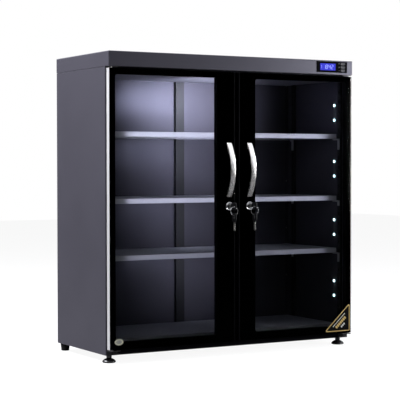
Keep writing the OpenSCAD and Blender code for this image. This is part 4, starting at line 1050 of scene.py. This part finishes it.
class CABINET_OT_stage(bpy.types.Operator):
    """The pale floor, the soft studio light, the lamps inside and the camera"""
    bl_idname = "cabinet.stage"
    bl_label = "Stage"

    def area(self, name, at, towards, size, high, power, colour=(1, 1, 1), reach=180):
        data = bpy.data.lights.new(name, "AREA")
        data.shape = "RECTANGLE"
        data.size = size
        data.size_y = high
        data.energy = power
        data.color = colour
        data.spread = math.radians(reach)
        lamp = bpy.data.objects.new(name, data)
        bpy.context.scene.collection.objects.link(lamp)
        lamp.location = at
        lamp.rotation_euler = (Vector(towards) - Vector(at)).to_track_quat("-Z", "Y").to_euler()
        lamp.visible_camera = False
        lamp.visible_transmission = False
        return lamp

    def floor(self):
        deselect()
        bpy.ops.mesh.primitive_plane_add(size=14, location=(0, 2, 0))
        piece = bpy.context.object
        piece.name = "studio_floor"
        settle()
        material = bpy.data.materials.new("Studio floor")
        material.use_nodes = True
        tree = material.node_tree
        tree.nodes.clear()
        place = node(tree, "TexCoord").outputs["Object"]
        noise = node(tree, "TexNoise", {"Vector": place, "Scale": 3.0, "Detail": 4.0}).outputs["Fac"]
        colour = blend_colours(tree, spread(tree, noise, 0, 1), (0.12, 0.12, 0.12), (0.13, 0.13, 0.13))
        matte = node(tree, "BsdfDiffuse", {"Color": colour}).outputs["BSDF"]
        lit = node(tree, "Emission", {"Color": (1, 1, 1, 1), "Strength": 0.92}).outputs["Emission"]
        both = node(tree, "AddShader", {0: matte, 1: lit}).outputs["Shader"]
        ray, bounced, seen = straight_view(tree)
        lighting = maths(tree, "GREATER_THAN", bounced, 0.5)
        entering = maths(tree, "MULTIPLY", ray["Is Transmission Ray"], lighting)
        dark = node(tree, "BsdfDiffuse", {"Color": (0, 0, 0, 1)}).outputs["BSDF"]
        shown = node(tree, "MixShader", {0: entering, 1: matte, 2: dark}).outputs["Shader"]
        mixed = node(tree, "MixShader", {0: seen, 1: shown, 2: both})
        out = node(tree, "OutputMaterial")
        tree.links.new(mixed.outputs["Shader"], out.inputs["Surface"])
        piece.data.materials.append(material)

    def world(self):
        world = bpy.data.worlds.new("Studio")
        bpy.context.scene.world = world
        world.use_nodes = True
        tree = world.node_tree
        tree.nodes.clear()
        ray, _, seen = straight_view(tree)
        direct = maths(tree, "LESS_THAN", ray["Diffuse Depth"], 0.5)
        shiny = maths(tree, "MULTIPLY", ray["Is Glossy Ray"], direct)
        way = node(tree, "TexCoord").outputs["Generated"]
        height = node(tree, "SeparateXYZ", {"Vector": way}).outputs["Z"]
        sky = node(tree, "MapRange", {"Value": height, "From Min": 0.12, "From Max": 0.6, "To Min": 0.08,
                                      "To Max": 1.5}).outputs["Result"]
        soft = maths(tree, "SUBTRACT", 0.12, maths(tree, "MULTIPLY", ray["Is Transmission Ray"], 0.115))
        level = node(tree, "Mix", {0: shiny, 2: soft, 3: sky}, data_type="FLOAT")
        plain = node(tree, "Background", {"Color": (0.93, 0.95, 1.0, 1), "Strength": level.outputs[0]})
        white = node(tree, "Background", {"Color": (1, 1, 1, 1), "Strength": 1.0})
        mixed = node(tree, "MixShader", {0: seen, 1: plain.outputs[0], 2: white.outputs[0]})
        out = node(tree, "OutputWorld")
        tree.links.new(mixed.outputs["Shader"], out.inputs["Surface"])

    def execute(self, context):
        stage = context.scene.cabinet_stage
        self.floor()
        self.world()
        self.area("Overhead softbox", (0, 1.5, 2.9), (0, 0, 0), 2.6, 2.6, 22)
        self.area("Right softbox", (1.34, -1.12, 0.80), (0.3, 0, 0.7), 0.42, 0.9, 29, (0.97, 0.97, 1.0))
        self.area("Left softbox", (-1.6, 0.45, 2.5), (-0.4, 0, 0.7), 2.0, 2.0, 225, (0.93, 0.93, 1.0))
        inside = stage.inside
        blue = (0.82, 0.82, 1.0)
        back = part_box("back_panel")[0].y
        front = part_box("light_lamps")[0].y - 40 * MM
        tops = [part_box(name)[1].z for name in ("floor_tray", "shelf_lower", "shelf_middle", "shelf_top")]
        tops.append(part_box("ceiling_panel")[0].z)
        for i, power in enumerate((0.13, 0.17, 0.33, 1.10)):
            z = tops[i + 1] - 40 * MM
            self.area("Inner back lamp", (0.01, front, z), (0.04, back, z - 0.03), 0.20, 0.03,
                      power * inside, blue, 72)
        for name, power in (("shelf_top", 0.060), ("shelf_middle", 0.040), ("shelf_lower", 0.016)):
            low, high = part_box(name)
            z = high.z - 8 * MM
            for x, wide, share in ((-0.16, 0.30, 1.0), (0.20, 0.30, 0.62)):
                self.area("Shelf edge lamp", (x, low.y - 18 * MM, z), (x, low.y, z), wide, 0.006,
                          power * share * inside, blue)
        context.scene.view_settings.view_transform = "Standard"
        data = bpy.data.cameras.new("Camera")
        data.lens = stage.lens
        data.sensor_width = 36
        data.clip_start = 0.05
        data.clip_end = 60
        camera = bpy.data.objects.new("Camera", data)
        context.scene.collection.objects.link(camera)
        turn = (Matrix.Rotation(-stage.yaw, 4, "Z") @ Matrix.Rotation(math.pi / 2 - stage.pitch, 4, "X")
                @ Matrix.Rotation(stage.roll, 4, "Z"))
        camera.matrix_world = Matrix.Translation(stage.eye) @ turn
        context.scene.camera = camera
        return {"FINISHED"}


OPERATORS = (
    CABINET_OT_finishes, CABINET_OT_masks, CABINET_OT_handles, CABINET_OT_locks, CABINET_OT_keys,
    CABINET_OT_rings, CABINET_OT_display, CABINET_OT_buttons, CABINET_OT_lamps, CABINET_OT_screws,
    CABINET_OT_feet, CABINET_OT_labels, CABINET_OT_stage,
)


class CABINET_PT_panel(bpy.types.Panel):
    """Lists the cabinet's operators and the values that they use"""
    bl_label = "Dry cabinet"
    bl_idname = "CABINET_PT_panel"
    bl_space_type = "VIEW_3D"
    bl_region_type = "UI"
    bl_category = "Dry cabinet"

    def draw(self, context):
        for kind in OPERATORS:
            self.layout.operator(kind.bl_idname)
        for group in (context.scene.cabinet_colours, context.scene.cabinet_sizes,
                      context.scene.cabinet_stage):
            box = self.layout.box()
            for name in group.bl_rna.properties.keys():
                if name not in ("rna_type", "name"):
                    box.prop(group, name)


GROUPS = (
    ("cabinet_colours", CabinetColours),
    ("cabinet_sizes", CabinetSizes),
    ("cabinet_stage", CabinetStage),
)


def register():
    for name, group in GROUPS:
        bpy.utils.register_class(group)
        setattr(bpy.types.Scene, name, bpy.props.PointerProperty(type=group))
    for kind in (*OPERATORS, CABINET_PT_panel):
        bpy.utils.register_class(kind)


def unregister():
    for kind in reversed((*OPERATORS, CABINET_PT_panel)):
        bpy.utils.unregister_class(kind)
    for name, group in reversed(GROUPS):
        delattr(bpy.types.Scene, name)
        bpy.utils.unregister_class(group)


def main():
    register()
    for kind in OPERATORS:
        family, word = kind.bl_idname.split(".")
        getattr(getattr(bpy.ops, family), word)()


if __name__ == "__main__":
    main()
